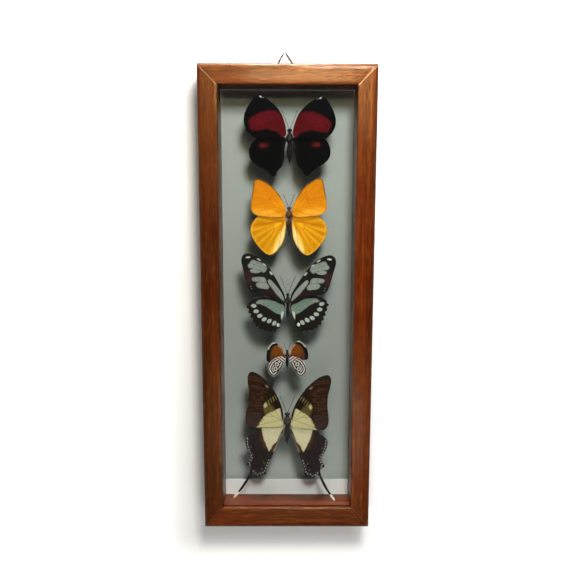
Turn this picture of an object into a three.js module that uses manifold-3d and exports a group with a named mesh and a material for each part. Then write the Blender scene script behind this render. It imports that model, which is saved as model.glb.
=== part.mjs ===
// A wall frame with two panes of glass and five spread butterflies between them.
// Millimetres, +Z up, +X to the viewer's right, +Y towards the wall.
// The origin is the nail that carries the frame, in the top corner of the wire triangle. The
// triangle leans and its base has slid along in the strap, so the middle of the frame hangs a
// little to the right of its nail.
import * as THREE from "three";
import { mergeVertices } from "three/addons/utils/BufferGeometryUtils.js";
import Module from "manifold-3d";

const wasm = await Module();
wasm.setup();

// ---- driving dimensions -------------------------------------------------------------------

const GAP = 0.3; // clearance between pieces that touch

const FRAME_WIDTH = 152;
const FRAME_HEIGHT = 414.5;
const FRAME_DEPTH = 34;
const RAIL_FACE = 17; // width of the top and side rails, seen from the front
const BOTTOM_RAIL_FACE = 19.4; // the bottom rail is a little wider
const MITRE_GAP = 0.15; // each mitred end is planed this much short
const ARRIS = 0.8; // chamfer along a rail's front edge at the opening
const SLOPE_WIDTH = 2.2; // the front outer edge of a rail slopes away: how far in it starts
const SLOPE_DEPTH = 1.6; // and how far back it ends

const GLASS = 2;
const GROOVE_DEPTH = 5;
const FRONT_PANE_Y = 4; // front face of each pane, behind the front of the rails
const BACK_PANE_Y = 28.5;

const CARD_HEIGHT = 15.2;
const CARD_THICKNESS = 0.4;

const WIRE_RADIUS = 0.6;
const NAIL_TO_MIDDLE = 2.7; // from the nail to the middle of the frame
const TRIANGLE_LEAN = 1.4; // the corner's place to the left of the middle of the base
const TRIANGLE_RISE = 20.8; // from the triangle's base to its corner, along the wire's middle
const TRIANGLE_HALF_BASE = 12.9;
const TRIANGLE_OPENING = 0.3; // between the wire's two ends at the top corner
const NAIL_SEAT = 1.3; // the nail's top is this far under the triangle's sharp corner
const TOP_TO_CORNER = 16.7; // the triangle's corner above the top of the frame

const STRAP_WIDTH = 8;
const STRAP_SHEET = 0.6;
const STRAP_LENGTH = 8;
const STRAP_BORE = 0.85;
const BRAD_RADIUS = 0.6;
const BRAD_LENGTH = 5;
const BRAD_HEAD = 1.2;
const BRAD_DROPS = [3, 6]; // below the wire's base

const WING = 0.4; // thickness of a wing plate
const NEAR_WING_Y = -1.3; // front of the nearer pair of wings, from the middle of the body
const FEELER_SPREAD = THREE.MathUtils.degToRad(20);
const FEELER_RADIUS = 0.2;
const BEAD = 0.5; // height of a bead of clear glue
const BEAD_RADIUS = 1.5;

// ---- where things are ---------------------------------------------------------------------

const strapOuter = STRAP_BORE + STRAP_SHEET;
const backY = -(strapOuter + GAP); // the back of the rails; the wire lies in the plane y = 0
const frontY = backY - FRAME_DEPTH;
const topZ = NAIL_SEAT - TOP_TO_CORNER;
const middleZ = topZ - FRAME_HEIGHT / 2;
const wireBaseZ = NAIL_SEAT - TRIANGLE_RISE;
const openingHalf = FRAME_WIDTH / 2 - RAIL_FACE;
const sillZ = topZ - FRAME_HEIGHT + BOTTOM_RAIL_FACE; // top of the bottom rail
const depth = (y) => frontY + y; // a depth behind the front face, as a place

// ---- helpers ------------------------------------------------------------------------------

const part = new THREE.Group();
const held = new THREE.Group(); // all that hangs on the wire
held.position.x = NAIL_TO_MIDDLE;
part.add(held);

function finish(color, roughness, metalness = 0, opacity = 1) {
  return new THREE.MeshStandardMaterial({
    color,
    roughness,
    metalness,
    opacity,
    transparent: opacity < 1,
  });
}

function add(name, geometry, material, into = held) {
  const mesh = new THREE.Mesh(geometry, material);
  mesh.name = name;
  into.add(mesh);
  return mesh;
}

function solid(geometry) {
  const bare = geometry.clone();
  bare.deleteAttribute("normal");
  bare.deleteAttribute("uv");
  const merged = mergeVertices(bare, 1e-4);
  return new wasm.Manifold(
    new wasm.Mesh({
      numProp: 3,
      vertProperties: new Float32Array(merged.attributes.position.array),
      triVerts: new Uint32Array(merged.index.array),
    }),
  );
}

function geometryOf(manifold) {
  const mesh = manifold.getMesh();
  const positions = [];
  for (const corner of mesh.triVerts)
    for (let k = 0; k < 3; k += 1)
      positions.push(mesh.vertProperties[corner * mesh.numProp + k]);
  const geometry = new THREE.BufferGeometry();
  geometry.setAttribute("position", new THREE.Float32BufferAttribute(positions, 3));
  geometry.computeVertexNormals();
  return geometry;
}

const joined = (geometries) =>
  geometryOf(geometries.map(solid).reduce((whole, piece) => whole.add(piece)));

const cut = (geometry, tools) =>
  geometryOf(tools.map(solid).reduce((whole, tool) => whole.subtract(tool), solid(geometry)));

// A box given by its lowest and highest corners.
function block([x0, y0, z0], [x1, y1, z1]) {
  const box = new THREE.BoxGeometry(x1 - x0, y1 - y0, z1 - z0);
  return box.translate((x0 + x1) / 2, (y0 + y1) / 2, (z0 + z1) / 2);
}

// A round bar along Y.
function peg(radius, length, x, y, z, sides = 16) {
  return new THREE.CylinderGeometry(radius, radius, length, sides).translate(x, y, z);
}

// A flat shape drawn in x and z, given a thickness along y.
function plate(shape, thickness) {
  const sheet = new THREE.ExtrudeGeometry(shape, { depth: thickness, bevelEnabled: false });
  return sheet.rotateX(Math.PI / 2);
}

// ---- the four rails -----------------------------------------------------------------------

// A rail's section: u runs from its outer edge towards the opening, v from front to back.
function railSection(face) {
  const groove = (y) => [y - GAP, y + GLASS + GAP];
  const points = [[0, SLOPE_DEPTH], [SLOPE_WIDTH, 0], [face - ARRIS, 0], [face, ARRIS]];
  for (const [near, far] of [groove(FRONT_PANE_Y), groove(BACK_PANE_Y)])
    points.push([face, near], [face - GROOVE_DEPTH, near], [face - GROOVE_DEPTH, far], [face, far]);
  points.push([face, FRAME_DEPTH], [0, FRAME_DEPTH]);
  return new THREE.Shape(points.map(([u, v]) => new THREE.Vector2(u, v)));
}

// A straight rail of that length on its outer edge, lying along x with its outer edge at y = 0,
// each end mitred towards the face of the rail that it meets there.
function rail(face, length, meetsLeft, meetsRight) {
  const bar = new THREE.ExtrudeGeometry(railSection(face), { depth: 1, bevelEnabled: false });
  const place = bar.attributes.position;
  for (let i = 0; i < place.count; i += 1) {
    const u = place.getX(i);
    const v = place.getY(i);
    const right = place.getZ(i) > 0.5;
    const slope = (right ? meetsRight : meetsLeft) / face;
    const end = length / 2 - MITRE_GAP - u * slope;
    place.setXYZ(i, right ? end : -end, v, -u);
  }
  return bar;
}

function rails(material) {
  const turned = (geometry, angle, x, z) => geometry.rotateY(angle).translate(x, frontY, z);
  const top = turned(rail(RAIL_FACE, FRAME_WIDTH, RAIL_FACE, RAIL_FACE), 0, 0, topZ);
  const pilots = BRAD_DROPS.map((drop) =>
    peg(BRAD_RADIUS + GAP, 2 * (BRAD_LENGTH + GAP), 0, backY, wireBaseZ - drop),
  );
  add("top_rail", cut(top, pilots), material);
  add(
    "bottom_rail",
    turned(
      rail(BOTTOM_RAIL_FACE, FRAME_WIDTH, RAIL_FACE, RAIL_FACE),
      Math.PI,
      0,
      topZ - FRAME_HEIGHT,
    ),
    material,
  );
  add(
    "left_rail",
    turned(
      rail(RAIL_FACE, FRAME_HEIGHT, BOTTOM_RAIL_FACE, RAIL_FACE),
      -Math.PI / 2,
      -FRAME_WIDTH / 2,
      middleZ,
    ),
    material,
  );
  add(
    "right_rail",
    turned(
      rail(RAIL_FACE, FRAME_HEIGHT, RAIL_FACE, BOTTOM_RAIL_FACE),
      Math.PI / 2,
      FRAME_WIDTH / 2,
      middleZ,
    ),
    material,
  );
}

// ---- the panes and the blank label card ---------------------------------------------------

function pane(name, y, material) {
  const into = GROOVE_DEPTH - GAP;
  add(
    name,
    block(
      [-openingHalf - into, depth(y), sillZ - into],
      [openingHalf + into, depth(y + GLASS), topZ - RAIL_FACE + into],
    ),
    material,
  );
}

function labelCard(material) {
  const back = depth(BACK_PANE_Y) - GAP - GAP;
  add(
    "label_card",
    block(
      [-openingHalf + GAP, back - CARD_THICKNESS, sillZ + GAP],
      [openingHalf - GAP, back, sillZ + GAP + CARD_HEIGHT],
    ),
    material,
  );
}

// ---- the hanger ---------------------------------------------------------------------------

// A sheet strap rolled round the wire's base, seen from the side: u is y, v is z.
function strapShape() {
  const shape = new THREE.Shape();
  const curl = THREE.MathUtils.degToRad(-110); // where the rolled end stops
  shape.moveTo(-strapOuter, -STRAP_LENGTH);
  shape.lineTo(-strapOuter, 0);
  shape.absarc(0, 0, strapOuter, Math.PI, curl, true);
  shape.lineTo(STRAP_BORE * Math.cos(curl), STRAP_BORE * Math.sin(curl));
  shape.absarc(0, 0, STRAP_BORE, curl, Math.PI, false);
  shape.lineTo(-STRAP_BORE, -STRAP_LENGTH);
  return shape;
}

function strap(material) {
  const bar = new THREE.ExtrudeGeometry(strapShape(), {
    depth: STRAP_WIDTH,
    bevelEnabled: false,
    curveSegments: 14,
  });
  // Turn the drawing plane so that its u runs along y, its v along z and its length along x.
  bar.applyMatrix4(
    new THREE.Matrix4().makeBasis(
      new THREE.Vector3(0, 1, 0),
      new THREE.Vector3(0, 0, 1),
      new THREE.Vector3(1, 0, 0),
    ),
  );
  bar.translate(-STRAP_WIDTH / 2, 0, wireBaseZ);
  const holes = BRAD_DROPS.map((drop) =>
    peg(BRAD_RADIUS + GAP / 2, 4 * STRAP_SHEET, 0, -STRAP_BORE, wireBaseZ - drop),
  );
  add("hanger_strap", cut(bar, holes), material);
}

// A brad: a thin shank and a low domed head turned as one profile.
function brad(name, drop, material) {
  const headRise = 0.7;
  const profile = [
    [0, 0],
    [BRAD_RADIUS, 0],
    [BRAD_RADIUS, BRAD_LENGTH + strapOuter],
    [BRAD_HEAD, BRAD_LENGTH + strapOuter],
    [BRAD_HEAD * 0.8, BRAD_LENGTH + strapOuter + headRise * 0.7],
    [0, BRAD_LENGTH + strapOuter + headRise],
  ].map(([r, h]) => new THREE.Vector2(r, h));
  const turned = new THREE.LatheGeometry(profile, 16);
  const start = -STRAP_BORE + GAP - (BRAD_LENGTH + strapOuter);
  add(name, turned.translate(0, start, wireBaseZ - drop), material);
}

// The wire's middle line: down one leg from its cut end at the corner, along the base and back up.
function wirePath() {
  const round = 1.6; // the stretch before and after each bent corner
  const legX = TRIANGLE_HALF_BASE;
  const legZ = TRIANGLE_RISE;
  const along = new THREE.Vector2(legX, -legZ).normalize();
  const endX = TRIANGLE_OPENING / 2 + WIRE_RADIUS;
  const endZ = legZ - (endX * legZ) / legX;
  const half = [
    [endX, endZ],
    [legX * 0.3, legZ * 0.7],
    [legX * 0.6, legZ * 0.4],
    [legX - along.x * round, -along.y * round],
    [legX - 0.25 * along.x * round, -0.25 * along.y * round + 0.1],
    [legX - 0.35 * round, 0.02],
    [legX - 1.2 * round, 0],
    [legX * 0.4, 0],
  ];
  const lean = (z) => TRIANGLE_LEAN * (1 - z / TRIANGLE_RISE);
  const right = half.map(([x, z]) => new THREE.Vector3(lean(z) + x, 0, z));
  const left = half.map(([x, z]) => new THREE.Vector3(lean(z) - x, 0, z)).reverse();
  return new THREE.CatmullRomCurve3([...right, ...left], false, "centripetal");
}

function wire(material) {
  const sides = 8;
  const ring = Array.from({ length: sides }, (_, i) => (2 * Math.PI * (i + 0.5)) / sides);
  const section = new THREE.Shape(
    ring.map((a) => new THREE.Vector2(WIRE_RADIUS * Math.cos(a), WIRE_RADIUS * Math.sin(a))),
  );
  const bar = new THREE.ExtrudeGeometry(section, { steps: 56, extrudePath: wirePath() });
  add("hanger_wire", bar.translate(0, 0, wireBaseZ), material, part);
}

// ---- the butterflies ----------------------------------------------------------------------

// Each specimen is drawn in millimetres from its own head: x out along the right-hand wings and
// z up. The left wings mirror the right ones, and each is turned a little as it was set.
const specimens = [
  {
    name: "crimson",
    middle: 1.8,
    headZ: 155.2,
    length: 31.5,
    thorax: 2.7,
    abdomen: 2.1,
    feelers: 17,
    fore: [
      [3.1, -1], [4.4, 4.6], [7.7, 12.2], [12, 17.8], [19.5, 23.7], [25.5, 27], [29.4, 26.2],
      [32.8, 22.3], [37, 15.8], [39.4, 8.3], [39, 2.1], [35.7, -3.8], [29.2, -8.7], [17, -8.8],
      [7, -8.4], [3.1, -6],
    ],
    hind: [
      [3.1, -8.6], [8, -5.5], [17, -5], [26, -6.8], [31.2, -10.6], [34.2, -14.8], [35.2, -19.7],
      [34.1, -25.5], [29.3, -30.5], [22.8, -34], [18.2, -37.9], [14.6, -40.6], [12.2, -38.6],
      [10.4, -35.4], [7.5, -32.5], [5.4, -27], [4.5, -18],
    ],
    turns: { foreLeft: 1.5, foreRight: -1.5, hindLeft: -1.2, hindRight: 1.2 },
    wing: finish(0x24141a, 0.6),
  },
  {
    name: "sulphur",
    middle: 1.5,
    headZ: 88.8,
    length: 27,
    thorax: 2.6,
    abdomen: 1.9,
    feelers: 12,
    fore: [
      [3, -3], [4.4, 2.4], [8.4, 9.8], [13.6, 16.2], [20.2, 21.2], [26.6, 23.8], [29.4, 22.4],
      [31, 16], [32.2, 9.2], [33, 1.5], [32.6, -3.6], [29.8, -6.8], [24, -8.6], [13, -9.6],
      [6, -9.6], [3, -7.5],
    ],
    hind: [
      [3, -10.5], [8, -7.5], [17, -6.5], [25.6, -8.4], [30.9, -13], [33.4, -18.4], [33.4, -24.3],
      [30.3, -30.8], [25.3, -37.2], [20.2, -41.6], [16.5, -43], [11.9, -40.8], [6.7, -34.4],
      [3.6, -27.3], [2.9, -20.5],
    ],
    turns: { foreLeft: -1, foreRight: 1, hindLeft: 0.5, hindRight: -0.5 },
    wing: finish(0xe29a10, 0.6),
  },
  {
    name: "clearwing",
    middle: 0.5,
    headZ: 12.2,
    length: 25.2,
    thorax: 1.9,
    abdomen: 1.2,
    feelers: 17,
    fore: [
      [2.3, -4.5], [3.2, -0.8], [7.7, 7.5], [13, 16.1], [18.5, 23.5], [24.6, 29.6], [30.8, 33.2],
      [36.7, 34.6], [40.4, 32.9], [41.9, 28.5], [40.2, 19.9], [37.5, 9.9], [35.2, 3], [32, 0],
      [24.3, -1.8], [15, -4.6], [7, -8.8], [2.3, -9],
    ],
    hind: [
      [2.3, -10.2], [6, -7.8], [13, -4.5], [20, -3.4], [27, -4.2], [33, -6.6], [36, -10.8],
      [34.3, -17.5], [31.7, -24], [28.6, -29.2], [23.6, -32.6], [15.7, -34.6], [9.7, -32.8],
      [6.2, -25.2], [3.4, -17.4],
    ],
    turns: { foreLeft: 1.4, foreRight: -1.4, hindLeft: -2, hindRight: 2 },
    wing: finish(0x3a4a48, 0.5),
  },
  {
    name: "ringlet",
    middle: 0.1,
    headZ: -39.6,
    length: 18.6,
    thorax: 1.5,
    abdomen: 1.1,
    feelers: 8,
    fore: [
      [1.9, -3.4], [3, 0.2], [5.3, 3.3], [7.6, 5.4], [10.2, 7.6], [12.6, 7.4], [15.3, 5],
      [17.8, 0.6], [19, -5.5], [18.4, -9.4], [16.4, -10.6], [9, -9.2], [3.4, -7.2], [1.9, -6],
    ],
    hind: [
      [1.9, -7], [5, -5.9], [9.5, -7], [13.4, -9.4], [16.2, -13.4], [17.7, -18.3], [16, -22.2],
      [12.6, -24.6], [9.5, -23.4], [7, -19.6], [4.6, -15.9], [2.4, -10.6],
    ],
    turns: { foreLeft: -4.5, foreRight: 4.5, hindLeft: 0, hindRight: 0 },
    hindInFront: true,
    wing: finish(0x9a6a3c, 0.6),
  },
  {
    name: "swallowtail",
    middle: 0.3,
    headZ: -98.6,
    length: 32.3,
    thorax: 3.1,
    abdomen: 2.3,
    feelers: 17,
    fore: [
      [3.5, -6], [4.2, -0.5], [5.8, 5.4], [10, 14.6], [16.3, 23.9], [23.6, 31.4], [29.8, 35.4],
      [35.4, 36.4], [38.1, 32.4], [37.6, 25], [36.2, 17], [36.2, 8], [37, 2], [38.1, -4],
      [37.9, -11], [35, -15.6], [30.2, -16.3], [18, -15.4], [8.4, -14.8], [3.5, -12.5],
    ],
    hind: [
      [3.5, -15.5], [8, -13.6], [16, -13.4], [24, -16.2], [31.2, -21.4], [37.6, -27],
      [37.4, -33.6], [34.6, -40.6], [32.4, -45.6], [35.8, -52.6], [32.2, -55.4], [32.4, -59.5],
      [36.8, -68.9], [41.5, -77.4], [47, -86], [46.3, -86.7], [39.8, -78.3], [34.6, -69.9],
      [30.6, -61.6], [28.6, -60.4], [25.2, -64.2], [22.4, -61.4], [18.2, -61.2], [16.9, -56],
      [15.4, -50.6], [11.9, -41], [7.9, -29.5], [4.4, -20.5],
    ],
    turns: { foreLeft: 3, foreRight: -3, hindLeft: 2.7, hindRight: -1.5 },
    wing: finish(0x3c2b22, 0.6),
  },
];

// A body's radius at a share s of its length, 0 at the front of the head and 1 at the tail tip.
function bodyRadius(specimen, s) {
  const swell = (middle, width, size) => size * Math.exp(-(((s - middle) / width) ** 2));
  const head = swell(0.05, 0.06, specimen.thorax * 0.62);
  const chest = swell(0.27, 0.16, specimen.thorax);
  const belly = swell(0.6, 0.27, specimen.abdomen);
  const taper = Math.sqrt(Math.max(0, Math.sin(Math.PI * Math.min(1, Math.max(0, s)) ** 0.9)));
  return Math.min(specimen.thorax, Math.max(head, chest, belly)) * Math.min(1, 1.6 * taper);
}

// A feeler: a thin stalk that starts inside the head, with a club at its end.
function feeler(specimen, side) {
  const clubRadius = 1.5 * FEELER_RADIUS;
  const clubLength = 0.16 * specimen.feelers;
  const root = { x: 0.4, z: -1 };
  const stalk = new THREE.CylinderGeometry(FEELER_RADIUS, FEELER_RADIUS, specimen.feelers, 6);
  stalk.translate(0, specimen.feelers / 2, 0);
  const club = new THREE.CylinderGeometry(clubRadius, FEELER_RADIUS, clubLength, 6);
  club.translate(0, specimen.feelers, 0);
  const both = joined([stalk, club]).rotateX(Math.PI / 2).rotateY(side * FEELER_SPREAD);
  return both.translate(side * root.x, 0, root.z);
}

function bodySolid(specimen) {
  const rings = 18;
  const profile = Array.from({ length: rings + 1 }, (_, i) => {
    const s = i / rings;
    const radius = i === 0 || i === rings ? 0 : bodyRadius(specimen, s);
    return new THREE.Vector2(radius, -specimen.length * s);
  }).reverse();
  const trunk = new THREE.LatheGeometry(profile, 12).rotateX(Math.PI / 2);
  return joined([trunk, feeler(specimen, 1), feeler(specimen, -1)]);
}

function wingPlate(points, turnDegrees, side) {
  const outline = new THREE.CatmullRomCurve3(
    points.map(([x, z]) => new THREE.Vector3(x, z, 0)),
    true,
    "centripetal",
  );
  const steps = points.length * 3;
  const around = outline.getPoints(steps).slice(0, steps);
  const pivot = new THREE.Vector2(points[0][0], points[0][1]);
  const turn = THREE.MathUtils.degToRad(turnDegrees);
  const drawn = around.map((point) => {
    const turned = new THREE.Vector2(point.x, point.y).rotateAround(pivot, turn);
    return new THREE.Vector2(side * turned.x, turned.y);
  });
  return plate(new THREE.Shape(drawn), WING);
}

// The wings start clear of the body, and the two pairs lie one behind the other.
function butterfly(specimen, bodyFinish, glueFinish) {
  const { name, turns } = specimen;
  const lie = new THREE.Group();
  const bodyY = depth(FRONT_PANE_Y + GLASS) + 2 * GAP + BEAD + specimen.thorax;
  lie.position.set(specimen.middle, bodyY, middleZ + specimen.headZ);
  held.add(lie);
  add(`${name}_body`, bodySolid(specimen), bodyFinish, lie);

  const farWingY = NEAR_WING_Y + WING + GAP;
  const forePlane = specimen.hindInFront ? farWingY : NEAR_WING_Y;
  const hindPlane = specimen.hindInFront ? NEAR_WING_Y : farWingY;
  const wings = [
    ["forewing_left", specimen.fore, turns.foreLeft, -1, forePlane],
    ["forewing_right", specimen.fore, turns.foreRight, 1, forePlane],
    ["hindwing_left", specimen.hind, turns.hindLeft, -1, hindPlane],
    ["hindwing_right", specimen.hind, turns.hindRight, 1, hindPlane],
  ];
  for (const [wingName, outline, turn, side, plane] of wings) {
    const wing = add(`${name}_${wingName}`, wingPlate(outline, turn, side), specimen.wing, lie);
    wing.position.y = plane + WING;
  }

  const bead = peg(BEAD_RADIUS, BEAD, 0, 0, 0);
  const dot = add(`${name}_glue_dot`, bead, glueFinish, lie);
  dot.position.set(0, -specimen.thorax - GAP - BEAD / 2, -specimen.length * 0.27);
}

// ---- the whole ----------------------------------------------------------------------------

const wood = finish(0x7a3614, 0.35);
const glass = finish(0xcfe0d8, 0.03, 0, 0.25);
const steel = finish(0x4a4a4a, 0.4, 0.9);
const card = finish(0xe6e4da, 0.9);
const glue = finish(0xf2f2ee, 0.1, 0, 0.5);
const fur = finish(0x1c1714, 0.95);

rails(wood);
pane("front_glass", FRONT_PANE_Y, glass);
pane("back_glass", BACK_PANE_Y, glass);
labelCard(card);
strap(steel);
BRAD_DROPS.forEach((drop, i) => brad(`strap_brad_${i + 1}`, drop, steel));
wire(steel);
for (const specimen of specimens) butterfly(specimen, fur, glue);

export default part;
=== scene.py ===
# %% [markdown]
# # Five butterflies in a double-glass frame
# This lesson dresses a plain engineering model of a tall wall frame. The frame is varnished wood,
# with one pane of glass in front and one behind, and five real butterflies spread between them.
# The plain model gives every size and place. The lesson builds finer shapes in those same places
# and gives each of them a finish.

# %% Load the plain model
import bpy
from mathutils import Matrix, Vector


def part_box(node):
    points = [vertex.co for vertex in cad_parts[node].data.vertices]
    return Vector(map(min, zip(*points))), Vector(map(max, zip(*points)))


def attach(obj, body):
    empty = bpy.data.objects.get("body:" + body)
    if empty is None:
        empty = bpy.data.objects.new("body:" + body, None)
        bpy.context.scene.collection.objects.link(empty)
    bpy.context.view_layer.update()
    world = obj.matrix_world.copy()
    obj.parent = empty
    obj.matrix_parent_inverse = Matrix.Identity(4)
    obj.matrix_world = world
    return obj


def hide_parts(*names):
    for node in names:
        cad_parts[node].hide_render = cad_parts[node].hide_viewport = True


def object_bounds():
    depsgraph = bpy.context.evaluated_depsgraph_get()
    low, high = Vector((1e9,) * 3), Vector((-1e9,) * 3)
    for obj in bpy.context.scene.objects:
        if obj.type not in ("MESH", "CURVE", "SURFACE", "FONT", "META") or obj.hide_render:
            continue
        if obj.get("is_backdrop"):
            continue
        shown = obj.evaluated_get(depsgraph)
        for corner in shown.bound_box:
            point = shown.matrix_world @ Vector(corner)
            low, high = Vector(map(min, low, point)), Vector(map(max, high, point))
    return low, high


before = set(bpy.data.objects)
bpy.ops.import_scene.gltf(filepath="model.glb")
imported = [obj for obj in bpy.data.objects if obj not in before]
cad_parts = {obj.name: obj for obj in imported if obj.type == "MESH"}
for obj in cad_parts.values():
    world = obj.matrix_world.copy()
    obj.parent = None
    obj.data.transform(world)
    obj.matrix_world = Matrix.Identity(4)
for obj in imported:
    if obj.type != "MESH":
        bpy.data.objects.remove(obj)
cad_box = [list(corner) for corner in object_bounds()]

import math

import bpy
import numpy as np
from mathutils import Matrix, Vector, geometry

print("pieces in the plain model:", len(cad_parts))

# %% [markdown]
# ## Sizes
# A maker works in millimetres and Blender in metres, so one factor turns one into the other. The
# nail that carries the frame is the zero point. Everything that is drawn on the frame's front is
# easier to give from the middle of the frame, so that middle is kept as a place of its own.

# %% Sizes of the frame
MM = 0.001
FRAME_WIDTH = 152.0
FRAME_HEIGHT = 414.5
FRAME_DEPTH = 34.0
RAIL_FACE = 17.0
BOTTOM_RAIL_FACE = 19.4
MIDDLE_X = 2.7
FRONT_Y = -35.75
TOP_Z = -15.4
MIDDLE_Z = TOP_Z - FRAME_HEIGHT / 2
WIRE_BASE_Z = -19.5
PANE_Y = (4.0, 28.5)  # front of each pane, behind the front of the rails
GLASS = 2.0
print("middle of the frame:", MIDDLE_X, MIDDLE_Z)

# %% [markdown]
# ## Small tools for finishes
# A finish in Blender is a network of nodes. Writing `add` and `link` for every node hides the idea
# of a finish, so this small class keeps a network short. Colours are given the way a paint chart
# gives them, from 0 to 255, and are turned into the linear values that the shader works with.

# %% A short way to write a node network
def linear(*channels):
    values = np.array(channels, float) / 255.0
    return np.where(values <= 0.04045, values / 12.92, ((values + 0.055) / 1.055) ** 2.4)


def colour(*channels):
    return (*linear(*channels), 1.0)


class Finish:
    """One material. Each method adds a node and returns its output."""

    def __init__(self, name):
        self.material = bpy.data.materials.new(name)
        self.material.use_nodes = True
        self.nodes = self.material.node_tree.nodes
        self.links = self.material.node_tree.links
        self.shader = self.nodes["Principled BSDF"]

    def node(self, kind, inputs=(), **settings):
        made = self.nodes.new(kind)
        for key, value in settings.items():
            setattr(made, key, value)
        for key, value in dict(inputs).items():
            self.put(made.inputs[key], value)
        return made

    def put(self, socket, value):
        if isinstance(value, bpy.types.NodeSocket):
            self.links.new(value, socket)
        else:
            socket.default_value = value

    def set(self, **values):
        for key, value in values.items():
            self.put(self.shader.inputs[key.replace("_", " ")], value)

    def stored(self, name, kind="Vector"):
        return self.node("ShaderNodeAttribute", attribute_name=name).outputs[kind]

    def place(self):
        return self.node("ShaderNodeTexCoord").outputs["Object"]

    def stretch(self, vector, scale):
        return self.node("ShaderNodeMapping", {"Vector": vector, "Scale": scale}).outputs["Vector"]

    def noise(self, vector, scale, detail=3.0, roughness=0.55):
        inputs = {"Vector": vector, "Scale": scale, "Detail": detail, "Roughness": roughness}
        return self.node("ShaderNodeTexNoise", inputs).outputs["Fac"]

    def maths(self, operation, first, second=0.0):
        made = self.node("ShaderNodeMath", operation=operation)
        self.put(made.inputs[0], first)
        self.put(made.inputs[1], second)
        return made.outputs["Value"]

    def between(self, value, low, high, to_low=0.0, to_high=1.0):
        inputs = {"Value": value, "From Min": low, "From Max": high, "To Min": to_low, "To Max": to_high}
        return self.node("ShaderNodeMapRange", inputs).outputs["Result"]

    def ramp(self, value, stops):
        made = self.node("ShaderNodeValToRGB", {"Fac": value})
        bar = made.color_ramp.elements
        while len(bar) < len(stops):
            bar.new(0.5)
        for element, (position, shade) in zip(bar, stops):
            element.position = position
            element.color = shade
        return made.outputs["Color"]

    def blend(self, amount, first, second):
        made = self.node("ShaderNodeMix", data_type="RGBA")
        self.put(made.inputs["Factor"], amount)
        self.put(made.inputs[6], first)
        self.put(made.inputs[7], second)
        return made.outputs[2]

    def scaled(self, shade, amount):
        inputs = {0: shade, "Scale": amount}
        return self.node("ShaderNodeVectorMath", inputs, operation="SCALE").outputs["Vector"]

    def bump(self, height, strength, distance):
        inputs = {"Height": height, "Strength": strength, "Distance": distance}
        return self.node("ShaderNodeBump", inputs).outputs["Normal"]


# %% A short way to make a mesh
def mesh_object(name, points, faces, finishes, smooth=True):
    """A mesh from points in millimetres."""
    mesh = bpy.data.meshes.new(name)
    mesh.from_pydata((np.asarray(points, float) * MM).tolist(), [], faces)
    for finish in finishes:
        mesh.materials.append(finish.material)
    mesh.shade_smooth() if smooth else mesh.shade_flat()
    made = bpy.data.objects.new(name, mesh)
    bpy.context.scene.collection.objects.link(made)
    return made


def ring_faces(rings, sides, turned=False):
    """Faces of a closed bar whose points lie in rings, ring after ring."""
    faces = []
    for i in range(rings - 1):
        for k in range(sides):
            a, b = i * sides + k, i * sides + (k + 1) % sides
            c, d = b + sides, a + sides
            faces.append((a, d, c, b) if turned else (a, b, c, d))
    first = tuple(range(sides))
    last = tuple((rings - 1) * sides + k for k in first)
    return faces + ([first, last[::-1]] if turned else [first[::-1], last])


def store(made, name, values, kind):
    """Keeps one value for each point of the mesh, for its finish to read."""
    field = {"FLOAT": "value", "FLOAT_VECTOR": "vector", "FLOAT_COLOR": "color"}[kind]
    attribute = made.data.attributes.new(name, kind, "POINT")
    attribute.data.foreach_set(field, np.asarray(values, np.float32).ravel())


def settle(made, body, slot, *nodes):
    """Puts a finished piece in the place of the plain pieces it stands for."""
    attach(made, body)
    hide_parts(*nodes)


# %% [markdown]
# ## Varnished wood
# The rails are reddish-brown wood under a clear gloss varnish. Long fibres give streaks that run
# along each rail, and short dark pores lie between them. Two noises stretched along the grain give
# the streaks and the pores. The varnish is a clear coat on top: smooth, but it follows the pores a
# little. Beside some joints where two rails meet, a pale line is painted in as a highlight. Each
# point of a rail stores its own place along and across the grain, so the same finish turns with the
# rail. Each rail also stores a painted light level, which makes its colour lighter or darker as
# painted light and shade, for how much light falls on that side of the frame.

# %% The wood finish
def wood_finish():
    f = Finish("varnished wood")
    grain = f.stored("grain")
    streaks = f.noise(f.stretch(grain, (9.0, 300.0, 300.0)), 1.0, 5.0, 0.6)
    bands = f.noise(f.stretch(grain, (2.5, 75.0, 75.0)), 1.0, 2.0, 0.5)
    mixed = f.maths("ADD", f.maths("MULTIPLY", streaks, 0.6), f.maths("MULTIPLY", bands, 0.4))
    tone = f.ramp(
        mixed,
        [
            (0.34, colour(44, 8, 1)),
            (0.46, colour(76, 18, 1)),
            (0.57, colour(106, 32, 2)),
            (0.68, colour(152, 68, 10)),
        ],
    )
    fleck_noise = f.noise(f.stretch(grain, (70.0, 620.0, 620.0)), 1.0, 2.0)
    tone = f.blend(f.between(fleck_noise, 0.52, 0.66, 0.0, 0.3), tone, colour(158, 84, 14))
    pore_noise = f.noise(f.stretch(grain, (130.0, 2600.0, 2600.0)), 1.0, 1.0)
    pores = f.between(pore_noise, 0.56, 0.66)
    shade = f.blend(f.maths("MULTIPLY", pores, 0.7), tone, colour(30, 8, 2))
    # each rail's painted light level scales its colour: painted light and shade for its side of the
    # frame
    shade = f.scaled(shade, f.stored("painted_light_level", "Fac"))
    # dark mitre joints, and painted shade along the upright rails' outer edges
    shade = f.blend(f.stored("edge", "Fac"), shade, colour(38, 14, 4))
    # a pale line beside the mitres: painted highlight
    shade = f.blend(f.stored("painted_glint", "Fac"), shade, colour(236, 176, 132))
    cloud = f.noise(grain, 35.0, 2.0)
    f.set(
        Base_Color=shade,
        Roughness=f.between(cloud, 0.3, 0.7, 0.30, 0.44),
        Normal=f.bump(f.maths("SUBTRACT", streaks, pores), 0.35, 0.0004),
        Coat_Weight=0.12,
        Coat_Roughness=0.12,
        Specular_IOR_Level=0.7,
        Specular_Tint=(1.0, 0.55, 0.2, 1.0),
    )
    return f


wood = wood_finish()
print("made", wood.material.name)
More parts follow.
